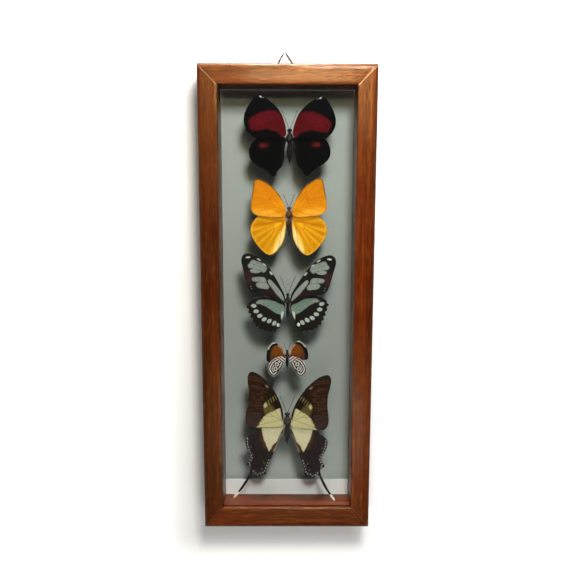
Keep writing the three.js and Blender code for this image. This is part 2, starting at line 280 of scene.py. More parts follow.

# %% [markdown]
# ## The four rails
# Each rail is one length of moulding: a flat face with a narrow sloping outer edge, a crisper inner
# edge, and two grooves that hold the panes. Both ends are mitred. The section is drawn once as a
# line of points and swept along the rail in many short steps. The front of each step is moved a
# hair's breadth, so it looks planed and sanded rather than ruled. The upright rails get painted
# shade along their outer edges, and painted highlights lie beside their ends.

# %% The section of a rail
GROOVE_DEPTH = 5.0
GROOVE_ROOM = 0.3


def arc(centre_u, centre_v, radius, start, end, count=6):
    turns = np.radians(np.linspace(start, end, count))
    return [(centre_u + radius * math.cos(t), centre_v + radius * math.sin(t)) for t in turns]


def rail_section(face):
    """Points (u, v): u from the outer edge to the opening, v from the front to the back."""
    inner, rear = 0.9, 0.5
    points = arc(rear, FRAME_DEPTH - rear, rear, 90, 180, 3)
    points += [(0.0, 2.1), (0.05, 1.75), (0.3, 1.4), (1.2, 0.72), (2.1, 0.1), (2.5, 0.0)]
    points += [(face * k / 6, 0.0) for k in (2, 3, 4, 5)]
    points += arc(face - inner, inner, inner, -90, 0)
    for pane_y in PANE_Y:
        near, far = pane_y - GROOVE_ROOM, pane_y + GLASS + GROOVE_ROOM
        bottom = face - GROOVE_DEPTH
        points += [(face, near), (bottom, near), (bottom, far), (face, far)]
    points += arc(face - rear, FRAME_DEPTH - rear, rear, 0, 90, 3)
    return np.array(points)


# %% Sweep a rail and mitre its ends
MITRE_GAP = 0.15
RAIL_STEP = 5.0
WEAR = 0.05
FRONT_DEPTH = 2.5  # points nearer the front than this are worn
EDGE_SHADE_WIDTH = 1.8  # of the painted shade along the upright rails' outer edges
GLINT_PLACE, GLINT_WIDTH = 0.8, 0.4  # of the painted highlight beside each mitre, from the mitre


def rail_mesh(name, face, length, meets_left, meets_right, painted_glints, painted_light_level, seed):
    section = rail_section(face)
    steps = int(length / RAIL_STEP)
    rng = np.random.default_rng(seed)
    wear = rng.normal(0, WEAR, (steps + 9, len(section)))
    u, v = section[:, 0], section[:, 1]
    left = -length / 2 + MITRE_GAP + u * meets_left / face
    right = length / 2 - MITRE_GAP - u * meets_right / face
    points, grain, edge, painted_glint = [], [], [], []
    on_front = v < FRONT_DEPTH
    outer_edge_shade = np.clip(1 - u / EDGE_SHADE_WIDTH, 0, 1) * (v < 0.85 * FRAME_DEPTH) * (max(painted_glints) > 0)
    shares = np.arange(1, steps) / steps
    near = np.array([0.4, 0.8, 1.2, 1.8]) / length
    shares = np.concatenate([[0], near, shares, 1 - near[::-1], [1]])
    for i, share in enumerate(shares):
        along = left + (right - left) * share
        inward = np.where(on_front, np.abs(wear[i]), 0)
        points.append(np.stack([along, v + inward, -u], 1))
        grain.append(np.stack([along * MM + seed * 3.1, u * MM, v * MM], 1))
        to_left, to_right = np.abs(along - left), np.abs(along - right)
        near_end = np.minimum(to_left, to_right)
        # dark mitre joints, and painted shade along the upright rails' outer edges
        edge.append(np.maximum(0.6 * outer_edge_shade, 0.8 * np.exp(-near_end / 0.3)))
        # painted highlight beside each mitre, strongest at the top right corner
        left_glint = np.exp(-(((to_left - GLINT_PLACE) / GLINT_WIDTH) ** 2)) * painted_glints[0]
        right_glint = np.exp(-(((to_right - GLINT_PLACE) / GLINT_WIDTH) ** 2)) * painted_glints[1]
        painted_glint.append(left_glint + right_glint)
    faces = ring_faces(len(shares), len(section))
    made = mesh_object(name, np.concatenate(points), faces, [wood])
    store(made, "grain", np.concatenate(grain), "FLOAT_VECTOR")
    store(made, "edge", np.concatenate(edge), "FLOAT")
    store(made, "painted_glint", np.concatenate(painted_glint), "FLOAT")
    store(made, "painted_light_level", np.full(len(section) * len(shares), painted_light_level), "FLOAT")
    made.data.set_sharp_from_angle(angle=math.radians(40))
    return made


# %% Set the rails round the opening
def place_rail(made, node, angle, x, z):
    turn = Matrix.Rotation(math.radians(angle), 4, "Y")
    made.data.transform(Matrix.Translation(Vector((x, FRONT_Y, z)) * MM) @ turn)
    settle(made, "frame", "varnished_wood", node)


half = FRAME_WIDTH / 2
foot = TOP_Z - FRAME_HEIGHT
slim, broad = RAIL_FACE, BOTTOM_RAIL_FACE
rails = [
    # node, face, length, face met at the left and at the right, painted glints, painted light level,
    # turn, x, z
    ("top_rail", slim, FRAME_WIDTH, slim, slim, (0.0, 0.0), 1.1, 0, 0, TOP_Z),
    ("bottom_rail", broad, FRAME_WIDTH, slim, slim, (0.0, 0.0), 0.95, 180, 0, foot),
    ("left_rail", slim, FRAME_HEIGHT, broad, slim, (0.1, 0.5), 0.62, -90, -half, MIDDLE_Z),
    ("right_rail", slim, FRAME_HEIGHT, slim, broad, (0.9, 0.1), 0.8, 90, half, MIDDLE_Z),
]
for seed, (node, face, length, left, right, painted_glints, painted_light_level, angle, x, z) in enumerate(rails):
    moulding = rail_mesh(node + "_moulding", face, length, left, right, painted_glints, painted_light_level, seed)
    place_rail(moulding, node, angle, MIDDLE_X + x, z)
    print(node, "has", len(moulding.data.polygons), "faces")

# %% [markdown]
# ## Two panes of clear glass
# The panes are 2 mm float glass, nearly clear with a faint green cast. They are true blocks, so
# they are given a real refracting glass that bends and reflects light at both faces. A refracting
# block would throw a full shadow in this kind of render, so the panes cast none: the light comes
# through them as it does through real window glass.

# %% The glass finish
def glass_finish():
    f = Finish("pane glass")
    smear = f.noise(f.place(), 14.0, 3.0)
    f.set(
        Base_Color=colour(246, 249, 247),
        Roughness=0.0,
        IOR=1.5,
        Normal=f.bump(smear, 0.02, 0.0005),
        Transmission_Weight=1.0,
    )
    return f


glass = glass_finish()


def dress(node, finish, bevel):
    """Keeps a plain piece, softens its edges and gives it a finish."""
    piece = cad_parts[node]
    piece.data.materials.clear()
    piece.data.materials.append(finish.material)
    softened = piece.modifiers.new("soft edges", "BEVEL")
    softened.width = bevel * MM
    softened.segments = 2
    softened.limit_method = "ANGLE"
    softened.angle_limit = math.radians(40)
    return piece


for node in ("front_glass", "back_glass"):
    dress(node, glass, 0.25).visible_shadow = False
near_corner, far_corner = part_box("front_glass")
print("glass panes:", [round(side / MM, 1) for side in far_corner - near_corner])

# %% [markdown]
# ## The blank label card
# A strip of pale card stands on the bottom rail in front of the back pane, where a label could be
# written. Card is matt and slightly fibrous, so its finish is rough with two faint noises: a broad
# one for the sheet's cloudiness and a fine one for the fibres.

# %% The card finish
def card_finish():
    f = Finish("label card")
    cloud = f.noise(f.place(), 90.0, 3.0)
    fibres = f.noise(f.stretch(f.place(), (900.0, 900.0, 2600.0)), 1.0, 3.0)
    tone = f.ramp(cloud, [(0.3, colour(234, 238, 240)), (0.7, colour(241, 245, 247))])
    shade = f.blend(f.between(fibres, 0.35, 0.65, 0.0, 0.12), tone, colour(212, 212, 208))
    f.set(Base_Color=shade, Roughness=0.9, Normal=f.bump(fibres, 0.25, 0.00008))
    return f


dress("label_card", card_finish(), 0.1)

# %% [markdown]
# ## The hanger
# Dull dark steel wire is bent into a triangle whose two cut ends meet at the top. Its base turns in
# the rolled end of a sheet strap, nailed to the back of the top rail by two small brads. A tube
# swept along the bent line makes the wire. The strap and brads have their real shapes already, so
# they keep them and only their edges are softened.

# %% The steel finish
def steel_finish():
    f = Finish("hanger steel")
    stain = f.noise(f.place(), 900.0, 4.0)
    drawn = f.noise(f.stretch(f.place(), (600.0, 9000.0, 9000.0)), 1.0, 2.0)
    tone = f.ramp(stain, [(0.35, colour(30, 30, 32)), (0.65, colour(54, 54, 54))])
    f.set(
        Base_Color=tone,
        Metallic=1.0,
        Roughness=f.between(stain, 0.3, 0.7, 0.38, 0.6),
        Normal=f.bump(drawn, 0.2, 0.00005),
    )
    return f


steel = steel_finish()
for node in ("hanger_strap", "strap_brad_1", "strap_brad_2"):
    dress(node, steel, 0.08)

# %% A tube along a line, with rounded ends
def tube(line, radii, sides):
    """Points and faces of a closed round bar through the points of `line`."""
    line = np.asarray(line, float)
    ahead = np.gradient(line, axis=0)
    ahead /= np.linalg.norm(ahead, axis=1)[:, None]
    across = np.cross(ahead, (0.0, 1.0, 0.001))
    across /= np.linalg.norm(across, axis=1)[:, None]
    up = np.cross(across, ahead)
    turn = np.linspace(0, 2 * math.pi, sides, endpoint=False)
    ring = np.cos(turn)[None, :, None] * across[:, None] + np.sin(turn)[None, :, None] * up[:, None]
    points = (line[:, None] + ring * np.asarray(radii, float)[:, None, None]).reshape(-1, 3)
    return points, ring_faces(len(line), sides)


# %% Bend the wire triangle
WIRE_RADIUS = 0.6
RISE, HALF_BASE = 20.8, 12.9
OPENING, LEAN = 0.3, 1.4  # between the cut ends, and how far the base lies to one side
CORNER_BEND = 1.7  # a bent corner starts this far from the sharp one


def wire_line():
    """From the cut end at the corner down the right leg, along the base and up the left leg."""
    leg = Vector((HALF_BASE, -RISE)).normalized()
    end_x = OPENING / 2 + WIRE_RADIUS
    start = Vector((end_x, RISE - end_x * RISE / HALF_BASE))
    corner = Vector((HALF_BASE, 0.0))
    before, after = corner - leg * CORNER_BEND, corner + Vector((-CORNER_BEND, 0.0))
    right = [start.lerp(before, t) for t in np.linspace(0, 1, 14)]
    right += [before.lerp(corner, t).lerp(corner.lerp(after, t), t) for t in np.linspace(0.15, 1, 8)]
    right += [after.lerp(Vector((0.0, 0.0)), t) for t in np.linspace(0.1, 1, 8)]
    both = [(x, z) for x, z in right] + [(-x, z) for x, z in reversed(right[:-1])]
    return [(x + LEAN * (1 - z / RISE), 0.0, z + WIRE_BASE_Z) for x, z in both]


line = wire_line()
radii = np.full(len(line), WIRE_RADIUS)
rounding = (0.45, 0.85)
radii[:2] *= rounding
radii[-2:] *= rounding[::-1]
points, faces = tube(line, radii, 12)
wire = mesh_object("bent_wire", points, faces, [steel])
settle(wire, "hanger", "hanger_steel", "hanger_wire")
print("wire length:", round(sum(math.dist(a, b) for a, b in zip(line, line[1:])), 1), "mm")

# %% [markdown]
# ## How a wing is drawn
# A butterfly's wing is a thin membrane held out by veins and covered with coloured scales. Here it
# is drawn flat in millimetres from the front of the head: x runs out along the right-hand wings and
# z runs up. A few points give the outline, and a smooth curve runs through them. The left wings
# mirror the right ones, and every wing is turned a little, as each was set by hand.

# %% Curves and distances
SPAN_STEPS = 6


def loop_through(points):
    """A smooth closed line through the points."""
    here = np.asarray(points, float)
    before, after, later = (np.roll(here, shift, 0) for shift in (1, -1, -2))

    def knot(a, b):
        return np.linalg.norm(b - a, axis=1)[:, None] ** 0.5

    d0, d1, d2 = knot(before, here), knot(here, after), knot(after, later)
    leave = ((here - before) / d0 - (after - before) / (d0 + d1) + (after - here) / d1) * d1
    arrive = ((after - here) / d1 - (later - here) / (d1 + d2) + (later - after) / d2) * d1
    t = np.linspace(0, 1, SPAN_STEPS, endpoint=False)[None, :, None]
    a, b, la, lb = here[:, None], after[:, None], leave[:, None], arrive[:, None]
    curve = (2 * t**3 - 3 * t**2 + 1) * a + (t**3 - 2 * t**2 + t) * la
    curve = curve + (3 * t**2 - 2 * t**3) * b + (t**3 - t**2) * lb
    return curve.reshape(-1, 2)


def path_distance(line, at):
    """How far each point of `at` is from an open line, and how far along the line its foot is."""
    a, b = np.asarray(line[:-1], float), np.asarray(line[1:], float)
    ab = b - a
    size = np.maximum((ab**2).sum(1), 1e-9)
    t = np.clip(((at[:, None] - a) * ab).sum(2) / size, 0, 1)
    away = np.linalg.norm(at[:, None] - a - t[..., None] * ab, axis=2)
    nearest = away.argmin(1)
    rows = np.arange(len(at))
    return away[rows, nearest], (nearest + t[rows, nearest]) / len(a)


def even_steps(line, length):
    """Points about `length` apart along an open line."""
    line = np.asarray(line, float)
    run = np.concatenate([[0], np.cumsum(np.linalg.norm(np.diff(line, axis=0), axis=1))])
    at = np.linspace(0, run[-1], int(run[-1] / length), endpoint=False)
    return np.stack([np.interp(at, run, line[:, k]) for k in (0, 1)], 1)


def inside_distance(loop, at):
    """Distance to a closed line, positive inside it."""
    away, _ = path_distance(np.vstack([loop, loop[:1]]), at)
    a, b = loop, np.roll(loop, -1, 0)
    x, z = at[:, :1], at[:, 1:]
    rise = np.where(b[:, 1] == a[:, 1], 1e-9, b[:, 1] - a[:, 1])
    meets = (b[:, 0] - a[:, 0]) * (z - a[:, 1]) / rise + a[:, 0]
    crossed = ((a[:, 1] > z) != (b[:, 1] > z)) & (x < meets)
    return np.where(crossed.sum(1) % 2 == 1, away, -away)


def step(value, soft):
    """0 well below zero, 1 well above, and a smooth change `soft` wide between."""
    t = np.clip(value / soft + 0.5, 0, 1)
    return t * t * (3 - 2 * t)


def mottle(at, size, seed):
    """Smooth random values from -1 to 1 with humps about `size` millimetres apart."""
    table = np.random.default_rng(seed).uniform(-1, 1, (97, 97))
    place = at / size + 48
    cell = np.floor(place).astype(int)
    f = place - cell
    f = f * f * (3 - 2 * f)
    i, k = cell[:, 0] % 96, cell[:, 1] % 96
    low = table[i, k] * (1 - f[:, 0]) + table[i + 1, k] * f[:, 0]
    high = table[i, k + 1] * (1 - f[:, 0]) + table[i + 1, k + 1] * f[:, 0]
    return low * (1 - f[:, 1]) + high * f[:, 1]


# %% [markdown]
# ## How a pattern is painted
# A real pattern is made of scales in patches: bands, spots, windows and veins. Each patch here is a
# shape with a soft edge, and the shapes are laid over one another like coats of paint. The result
# is one colour for each point of a fine mesh, so no picture is needed and every patch can be moved
# or recoloured by its own line.

# %% Coats of paint
class Paint:
    """Colours for the points `at` of one wing, in linear light."""

    def __init__(self, at, ground):
        self.at = at
        self.colours = np.tile(linear(*ground), (len(at), 1))

    def coat(self, cover, shade):
        self.colours += (linear(*shade) - self.colours) * np.clip(cover, 0, 1)[:, None]

    def patch(self, points, shade, soft=0.5, strength=1.0, ragged=0.0):
        away = inside_distance(loop_through(points), self.at)
        if ragged:
            away = away + ragged * mottle(self.at, 1.3, 5)
        self.coat(step(away, soft) * strength, shade)

    def spot(self, x, z, half_width, half_height, shade, turn=0.0, soft=0.4, strength=1.0):
        c, s = math.cos(math.radians(turn)), math.sin(math.radians(turn))
        dx, dz = self.at[:, 0] - x, self.at[:, 1] - z
        along, across = (c * dx + s * dz) / half_width, (c * dz - s * dx) / half_height
        away = (1 - np.hypot(along, across)) * min(half_width, half_height)
        self.coat(step(away, soft) * strength, shade)

    def stroke(self, line, width, shade, soft=0.4, strength=1.0, taper=0.0):
        away, along = path_distance(line, self.at)
        self.coat(step(width / 2 * (1 - taper * along) - away, soft) * strength, shade)

    def shimmer(self, size, amount, seed):
        """Lighter and darker clouds in what is painted so far."""
        self.colours *= (1 + amount * mottle(self.at, size, seed))[:, None]


# %% [markdown]
# ## Veins
# Every wing has the same plan: a closed cell near the body, and veins that leave the cell's rim and
# run to the outer edge. A short function draws that plan from the root, the cell's two far corners
# and the places where veins end. The veins are used twice, to darken the scales and to raise thin
# ridges in the mesh.

# %% The plan of the veins
def vein_plan(root, cell_top, cell_low, ends):
    rim = np.array([root, cell_top, cell_low, root], float)
    lines = [rim]
    for share, end in zip(np.linspace(0.55, 2.8, len(ends)), ends):
        k = min(int(share), 2)
        start = rim[k] + (rim[k + 1] - rim[k]) * (share - k)
        middle = (start + np.array(end)) / 2 + (start - rim[0]) * 0.04
        lines.append(np.array([start, middle, end]))
    return lines


def vein_height(lines, at, width):
    """1 on a vein and 0 between veins."""
    nearest = np.min([path_distance(line, at)[0] for line in lines], axis=0)
    return np.exp(-((nearest / width) ** 2))


# %% [markdown]
# ## The mesh of a wing
# The outline is cut into short edges and the inside is filled with a fine triangular grid. One
# sheet faces the front and one the back, close together and joined along the rim, so the wing is a
# closed solid as thin as card. A gentle bend, a few slow waves and the veins' ridges are worked in,
# because a dried wing is never flat.

# %% Fill an outline with triangles
WING_GRID = 0.42


def filled(loop):
    """Points inside and on the loop, triangles between them, and each point's distance inside."""
    low, high = loop.min(0), loop.max(0)
    row = WING_GRID * math.sqrt(3) / 2
    grid = [
        (x + (WING_GRID / 2 if k % 2 else 0), z)
        for k, z in enumerate(np.arange(low[1], high[1], row))
        for x in np.arange(low[0], high[0], WING_GRID)
    ]
    grid = np.array(grid)
    grid = grid[inside_distance(loop, grid) > 0.6 * WING_GRID]
    rim = [(k, (k + 1) % len(loop)) for k in range(len(loop))]
    corners = [Vector(p) for p in np.vstack([loop, grid])]
    points, _, triangles, *_ = geometry.delaunay_2d_cdt(corners, rim, [], 1, 1e-6)
    points = np.array([tuple(p) for p in points])
    return points, [tuple(t) for t in triangles], inside_distance(loop, points)


# %% Two sheets and a rim
WING_SHEET = 0.14


def wing_solid(triangles, count):
    """Faces of a front sheet, a back sheet and the rim that joins them."""
    edges = {}
    for triangle in triangles:
        for a, b in zip(triangle, triangle[1:] + triangle[:1]):
            edges[(a, b)] = edges.get((a, b), 0) + 1
    faces = list(triangles)
    faces += [(c + count, b + count, a + count) for a, b, c in triangles]
    faces += [(b, a, a + count, b + count) for a, b in edges if (b, a) not in edges]
    return faces


# %% [markdown]
# ## The scale finish
# Wing scales are tiny overlapping tiles with no shine of their own, so a wing looks like matt
# velvet. The finish takes the painted colour, breaks it up with a very fine grain, and adds a
# little sheen, which is how a pile of fine hairs catches light at its edges.

# %% The wing finish
def wing_finish(name):
    f = Finish(name)
    grain = f.noise(f.place(), 5200.0, 2.0)
    rows = f.noise(f.stretch(f.place(), (2200.0, 2200.0, 700.0)), 1.0, 2.0)
    lift = f.between(f.maths("ADD", grain, rows), 0.7, 1.3, 0.82, 1.18)
    f.set(
        Base_Color=f.scaled(f.stored("paint", "Color"), lift),
        Roughness=0.8,
        Normal=f.bump(grain, 0.25, 0.00006),
        Sheen_Weight=0.04,
        Sheen_Roughness=0.4,
        Specular_IOR_Level=0.05,
    )
    return f


# %% [markdown]
# ## The crimson butterfly
# The top specimen is nearly black, with one broad dark-red band across each forewing and a small
# red spot on each hindwing. Its underside is brown like a dead leaf.

# %% Paint the crimson wings
INK = (8, 6, 7)


def leaf_side(at, seed):
    under = Paint(at, (112, 84, 60))
    under.shimmer(3.0, 0.3, seed)
    under.shimmer(1.0, 0.18, seed + 1)
    return under


def crimson_fore(at, veins, edge):
    p = Paint(at, INK)
    p.coat(step(at[:, 1] - 13, 10.0), (14, 16, 20))
    band = [
        (34.7, 5.6), (32.4, 8.5), (26.5, 11.6), (19.9, 13.8), (12.8, 13.7), (7.9, 11), (4.1, 4.7),
        (2.8, -1.1), (2.9, -7), (4.4, -9.9), (7.5, -5.9), (12.4, -2.6), (19, -1.6), (26.2, -2.4),
        (32.2, -2.5), (34.3, 0.3),
    ]
    p.patch(band, (112, 20, 26), soft=1.6, ragged=0.5)
    p.spot(22, 7.5, 12, 5, (128, 26, 40), turn=-18, soft=4.0, strength=0.7)
    p.shimmer(2.5, 0.12, 3)
    p.coat(veins * 0.3, (16, 12, 14))
    p.spot(25.6, 25.6, 1.2, 0.6, (250, 250, 245), turn=25)
    p.spot(23.2, 24.8, 0.5, 0.4, (200, 200, 195))
    under = leaf_side(at, 30)
    under.coat(veins * 0.5, (70, 48, 34))
    return p.colours, under.colours


def crimson_hind(at, veins, edge):
    p = Paint(at, (3, 3, 3))
    p.spot(22.4, -14.1, 5.0, 3.4, (44, 8, 8), soft=2.5)
    p.spot(23.8, -14.0, 2.4, 2.0, (112, 38, 34), soft=1.0)
    p.spot(20.6, -14.2, 1.8, 1.7, (98, 24, 26), soft=1.0)
    p.coat(step(6.4 - at[:, 0], 3.0) * 0.8, (28, 20, 20))
    p.shimmer(2.0, 0.2, 4)
    p.coat(veins * 0.5, (9, 8, 8))
    under = leaf_side(at, 34)
    under.coat(veins * 0.5, (70, 48, 34))
    return p.colours, under.colours


# %% [markdown]
# ## The sulphur butterfly
# The second specimen is a warm orange-yellow all over, with a thin brown rim and slightly darker
# veins. The inner edges of its hindwings fade to cream.

# %% Paint the sulphur wings
ORANGE = (224, 142, 8)


def sulphur_fore(at, veins, edge):
    p = Paint(at, ORANGE)
    p.spot(20, 14, 16, 12, (212, 128, 8), soft=8)
    p.patch([(6, -9), (16, -3), (30, -3), (33, -7), (20, -11)], (240, 170, 50), soft=4, strength=0.8)
    p.shimmer(5.0, 0.07, 6)
    p.shimmer(1.2, 0.05, 7)
    p.coat(veins * 0.6, (190, 104, 6))
    p.stroke([(14, 1), (22, -1), (32, 1)], 1.2, (206, 120, 10), soft=1.5, strength=0.5)
    p.spot(16.5, 6.5, 1.3, 0.8, (190, 100, 10), soft=1.0, strength=0.7)
    p.coat(step(0.9 - edge, 0.5) * step(at[:, 1] - 6, 6.0) * 0.85, (74, 44, 18))
    p.coat(step(0.6 - edge, 0.5) * 0.35, (120, 78, 24))
    under = Paint(at, (222, 176, 60))
    under.shimmer(4.0, 0.08, 36)
    under.coat(veins * 0.4, (200, 140, 40))
    return p.colours, under.colours


def sulphur_hind(at, veins, edge):
    p = Paint(at, (204, 136, 6))
    p.shimmer(5.0, 0.08, 8)
    p.patch([(3, -17), (8, -22), (17, -39), (17, -46), (5, -40), (0, -26)], (240, 190, 50), soft=3.0)
    inner = [(2, -15), (6, -22), (9.5, -30), (13, -38), (13, -44), (5, -38), (0, -24)]
    p.patch(inner, (246, 220, 150), soft=2.2)
    p.coat(step(1.6 - edge, 1.6) * step(-at[:, 1] - 12, 8.0) * 0.5, (246, 190, 60))
    p.shimmer(1.2, 0.05, 9)
    for x, z in [(30, -11), (31, -21), (30, -27), (26, -33), (21, -38), (15, -40)]:
        p.stroke([(8, -15), (x, z)], 2.2, (250, 182, 30), soft=1.8, strength=0.5)
    p.coat(veins * 0.75, (188, 108, 6))
    p.stroke([(5, -13), (16, -14.5), (31, -17)], 1.4, (196, 110, 6), soft=1.6, strength=0.75)
    p.stroke([(6, -18), (13, -29), (17, -41)], 1.0, (190, 118, 10), soft=1.2, strength=0.75)
    p.coat(step(0.35 - edge, 0.4) * 0.7, (110, 64, 20))
    under = Paint(at, (226, 186, 84))
    under.shimmer(4.0, 0.08, 38)
    under.coat(veins * 0.4, (200, 140, 40))
    return p.colours, under.colours


# %% [markdown]
# ## The clearwing butterfly
# The third specimen is black, with pale blue-grey windows. On the real insect a window is a place
# with few scales, so its edge is crisp and the veins cross it as fine dark lines.

# %% Paint the clearwing wings
WINDOW = (138, 146, 140)
POLISHED = (216, 214, 204)


def clearwing_fore(at, veins, edge):
    p = Paint(at, (25, 24, 22))
    p.patch([(32, 18), (38, 18), (38, 5), (33, 8)], (52, 32, 30), soft=4.0)
    p.patch([(6, -5), (14, -2), (24, -0.5), (20, 2), (12, 2)], (46, 24, 26), soft=3.0)
    apical = [
        (31, 28.9), (27.9, 27.7), (24.5, 26.6), (21.4, 24.5), (19, 21.7), (20, 19.6), (22, 17.9),
        (24, 18.7), (25.9, 17.7), (30.5, 17.1), (33.6, 18.3), (34, 19.8), (31.5, 20.8), (35.1, 22),
        (36.2, 23.8), (34.4, 25.9), (33.1, 28.2),
    ]
    middle = [
        (32.3, 12.1), (31.1, 13.2), (21.8, 13.6), (20, 12.1), (19.1, 8.7), (16.8, 5.3), (17.8, 3.4),
        (22.2, 3.5), (26.6, 4.4), (28.6, 6.9), (27.6, 8.5), (25.4, 9.5), (31.3, 10.2),
    ]
    leaf = [
        (18, 10.9), (16.8, 12), (13.9, 10.1), (9.2, 4.9), (5.3, -0.7), (3.1, -7.4), (5.8, -5.4),
        (10.3, -0.8), (14.1, 4), (17, 7.8),
    ]
    for window in (apical, middle, leaf):
        p.patch(window, WINDOW, soft=0.6)
    for crossing in (
        [(34.7, 25.9), (28.8, 24.3), (20.4, 21.1)],
        [(35.2, 21.6), (28.7, 20.9), (20.9, 18.6)],
        [(31.5, 28.6), (27, 26), (20.5, 23)],
        [(31, 9.4), (25, 9.3), (19.2, 9)],
    ):
        p.stroke(crossing, 0.5, (84, 92, 86), soft=0.5, strength=0.8)
    p.shimmer(1.5, 0.1, 10)
    p.spot(36, 31, 2.0, 0.75, POLISHED, turn=-6)
    p.spot(26.4, 29.3, 1.9, 0.5, POLISHED, turn=30)
    p.spot(21.3, 24.9, 1.8, 0.45, POLISHED, turn=38)
    p.spot(15.3, 17.5, 1.9, 0.75, (196, 200, 192), turn=52)
    p.spot(33.1, 4.9, 0.6, 0.5, (130, 132, 120))
    p.spot(32.4, 3, 0.6, 0.5, (130, 132, 120))
    return p.colours, p.colours * (0.92, 0.84, 0.74)


def clearwing_hind(at, veins, edge):
    p = Paint(at, (27, 23, 21))
    leaf = [
        (26.4, -7), (23.8, -5.8), (17.5, -5.4), (12.6, -6.8), (7.7, -9.2), (3.7, -11.2),
        (2.9, -13.2), (4.1, -19.4), (5.2, -24.2), (6.2, -20), (10.5, -18), (15.4, -14.6),
        (20.2, -11.3), (23.9, -9.6),
    ]
    p.patch(leaf, (120, 140, 128), soft=0.6)
    p.spot(25.0, -7.3, 3.2, 1.6, WINDOW, turn=-20, soft=1.0)
    p.patch([(3.4, -17), (5.6, -17), (5.8, -24.6), (4.4, -24)], (196, 202, 192), soft=0.8)
    crossings = [(22, -9.4), (5.3, -13.4)], [(17.8, -12), (6.1, -16.8)], [(12, -16.5), (4, -13)]
    for crossing in crossings:
        p.stroke(crossing, 0.4, (100, 116, 108), soft=0.5, strength=0.7)
    p.shimmer(1.5, 0.08, 11)
    spots = [(30.4, -10.8), (28.4, -15.8), (25.3, -20), (21.5, -23.3), (17, -25), (12.6, -27.1)]
    for x, z in spots:
        lean = math.degrees(math.atan2(z + 12, x - 5)) + 8
        p.spot(x, z, 2.3, 1.6, (180, 190, 180), turn=lean, soft=0.6)
        p.spot(x, z, 0.8, 0.5, (142, 156, 146), turn=lean, soft=0.5, strength=0.6)
    p.spot(9.1, -28.8, 1.3, 1.6, (232, 230, 222), soft=0.6)
    return p.colours, p.colours * (0.92, 0.84, 0.74)


# %% [markdown]
# ## The ringlet butterfly
# The small fourth specimen is set with its underside to the front. Its forewings are orange-brown
# with a broad black rim and a white line near the tip. Its hindwings are white with fine black
# rings round two eyes. The rings follow the wing's edge, so they are drawn from the distance to
# the edge and to each eye.

# %% Paint the ringlet wings
def ringlet_fore(at, veins, edge):
    p = Paint(at, (78, 45, 24))
    p.spot(7.4, 0.4, 7.0, 5.2, (116, 64, 8), turn=-30, soft=5.0)
    p.patch([(2, -5), (3.2, 1.5), (7, 5.4), (8, 4.6), (4.4, 0.5), (3.2, -4)], (196, 150, 124), soft=0.9)
    p.shimmer(1.2, 0.16, 12)
    p.coat(veins * 0.4, (110, 62, 30))
    outer = [(9.0, 6.6), (12.2, 6.0), (14.6, 3.6), (16.8, -0.6), (17.6, -5.6), (17.2, -9.6)]
    p.stroke(outer, 3.6, (18, 15, 14), soft=0.7)
    p.stroke([(9.6, 7.0), (12.4, 6.9), (14.9, 4.6), (16.6, 1.6)], 0.75, (214, 210, 204), soft=0.4)
    p.coat(step(0.35 - edge, 0.3) * step(at[:, 1], 3.0), (20, 18, 18))
    top = Paint(at, (20, 20, 24))
    top.patch([(3, -4), (6, 2), (9, 1), (8, -6)], (40, 90, 96), soft=1.2)
    return p.colours, top.colours


def ringlet_hind(at, veins, edge):
    dark, period = (12, 10, 10), 2.1
    p = Paint(at, (208, 202, 192))
    across = 0.63 * at[:, 0] - 0.78 * at[:, 1]
    stripes = step(np.cos((across - 7.0) * 2 * math.pi / period), 0.6) * step(12.2 - across, 0.6)
    p.coat(stripes, dark)
    eyes = [(9.3, -13.2), (10.6, -17.6)]
    nearest = np.min([np.hypot(at[:, 0] - x, at[:, 1] - z) for x, z in eyes], axis=0)
    past = step(across - 12.0, 0.5)
    rings = step(np.cos((edge - 1.0) * 2 * math.pi / period) + 0.1, 0.6)
    p.coat(rings * past * step(nearest - 2.4, 0.4), dark)
    p.coat(step(0.4 - np.abs(nearest - 2.3), 0.3) * past, dark)
    p.coat(step(0.95 - nearest, 0.4), dark)
    p.spot(6.5, -8.0, 3.0, 1.2, (190, 120, 100), turn=-30, soft=1.2, strength=0.35)
    top = Paint(at, (20, 20, 24))
    top.stroke([(5, -20), (11, -22), (15, -18)], 0.9, (70, 110, 120))
    return p.colours, top.colours


# %% [markdown]
# ## The swallowtail butterfly
# The last specimen is dark brown with a cream patch that runs over both wings. The forewing has a
# fan of short olive rays, the hindwing has a scalloped edge with small white marks, and each tail
# ends in a white tip.

# %% Paint the swallowtail wings
CREAM = (176, 168, 124)


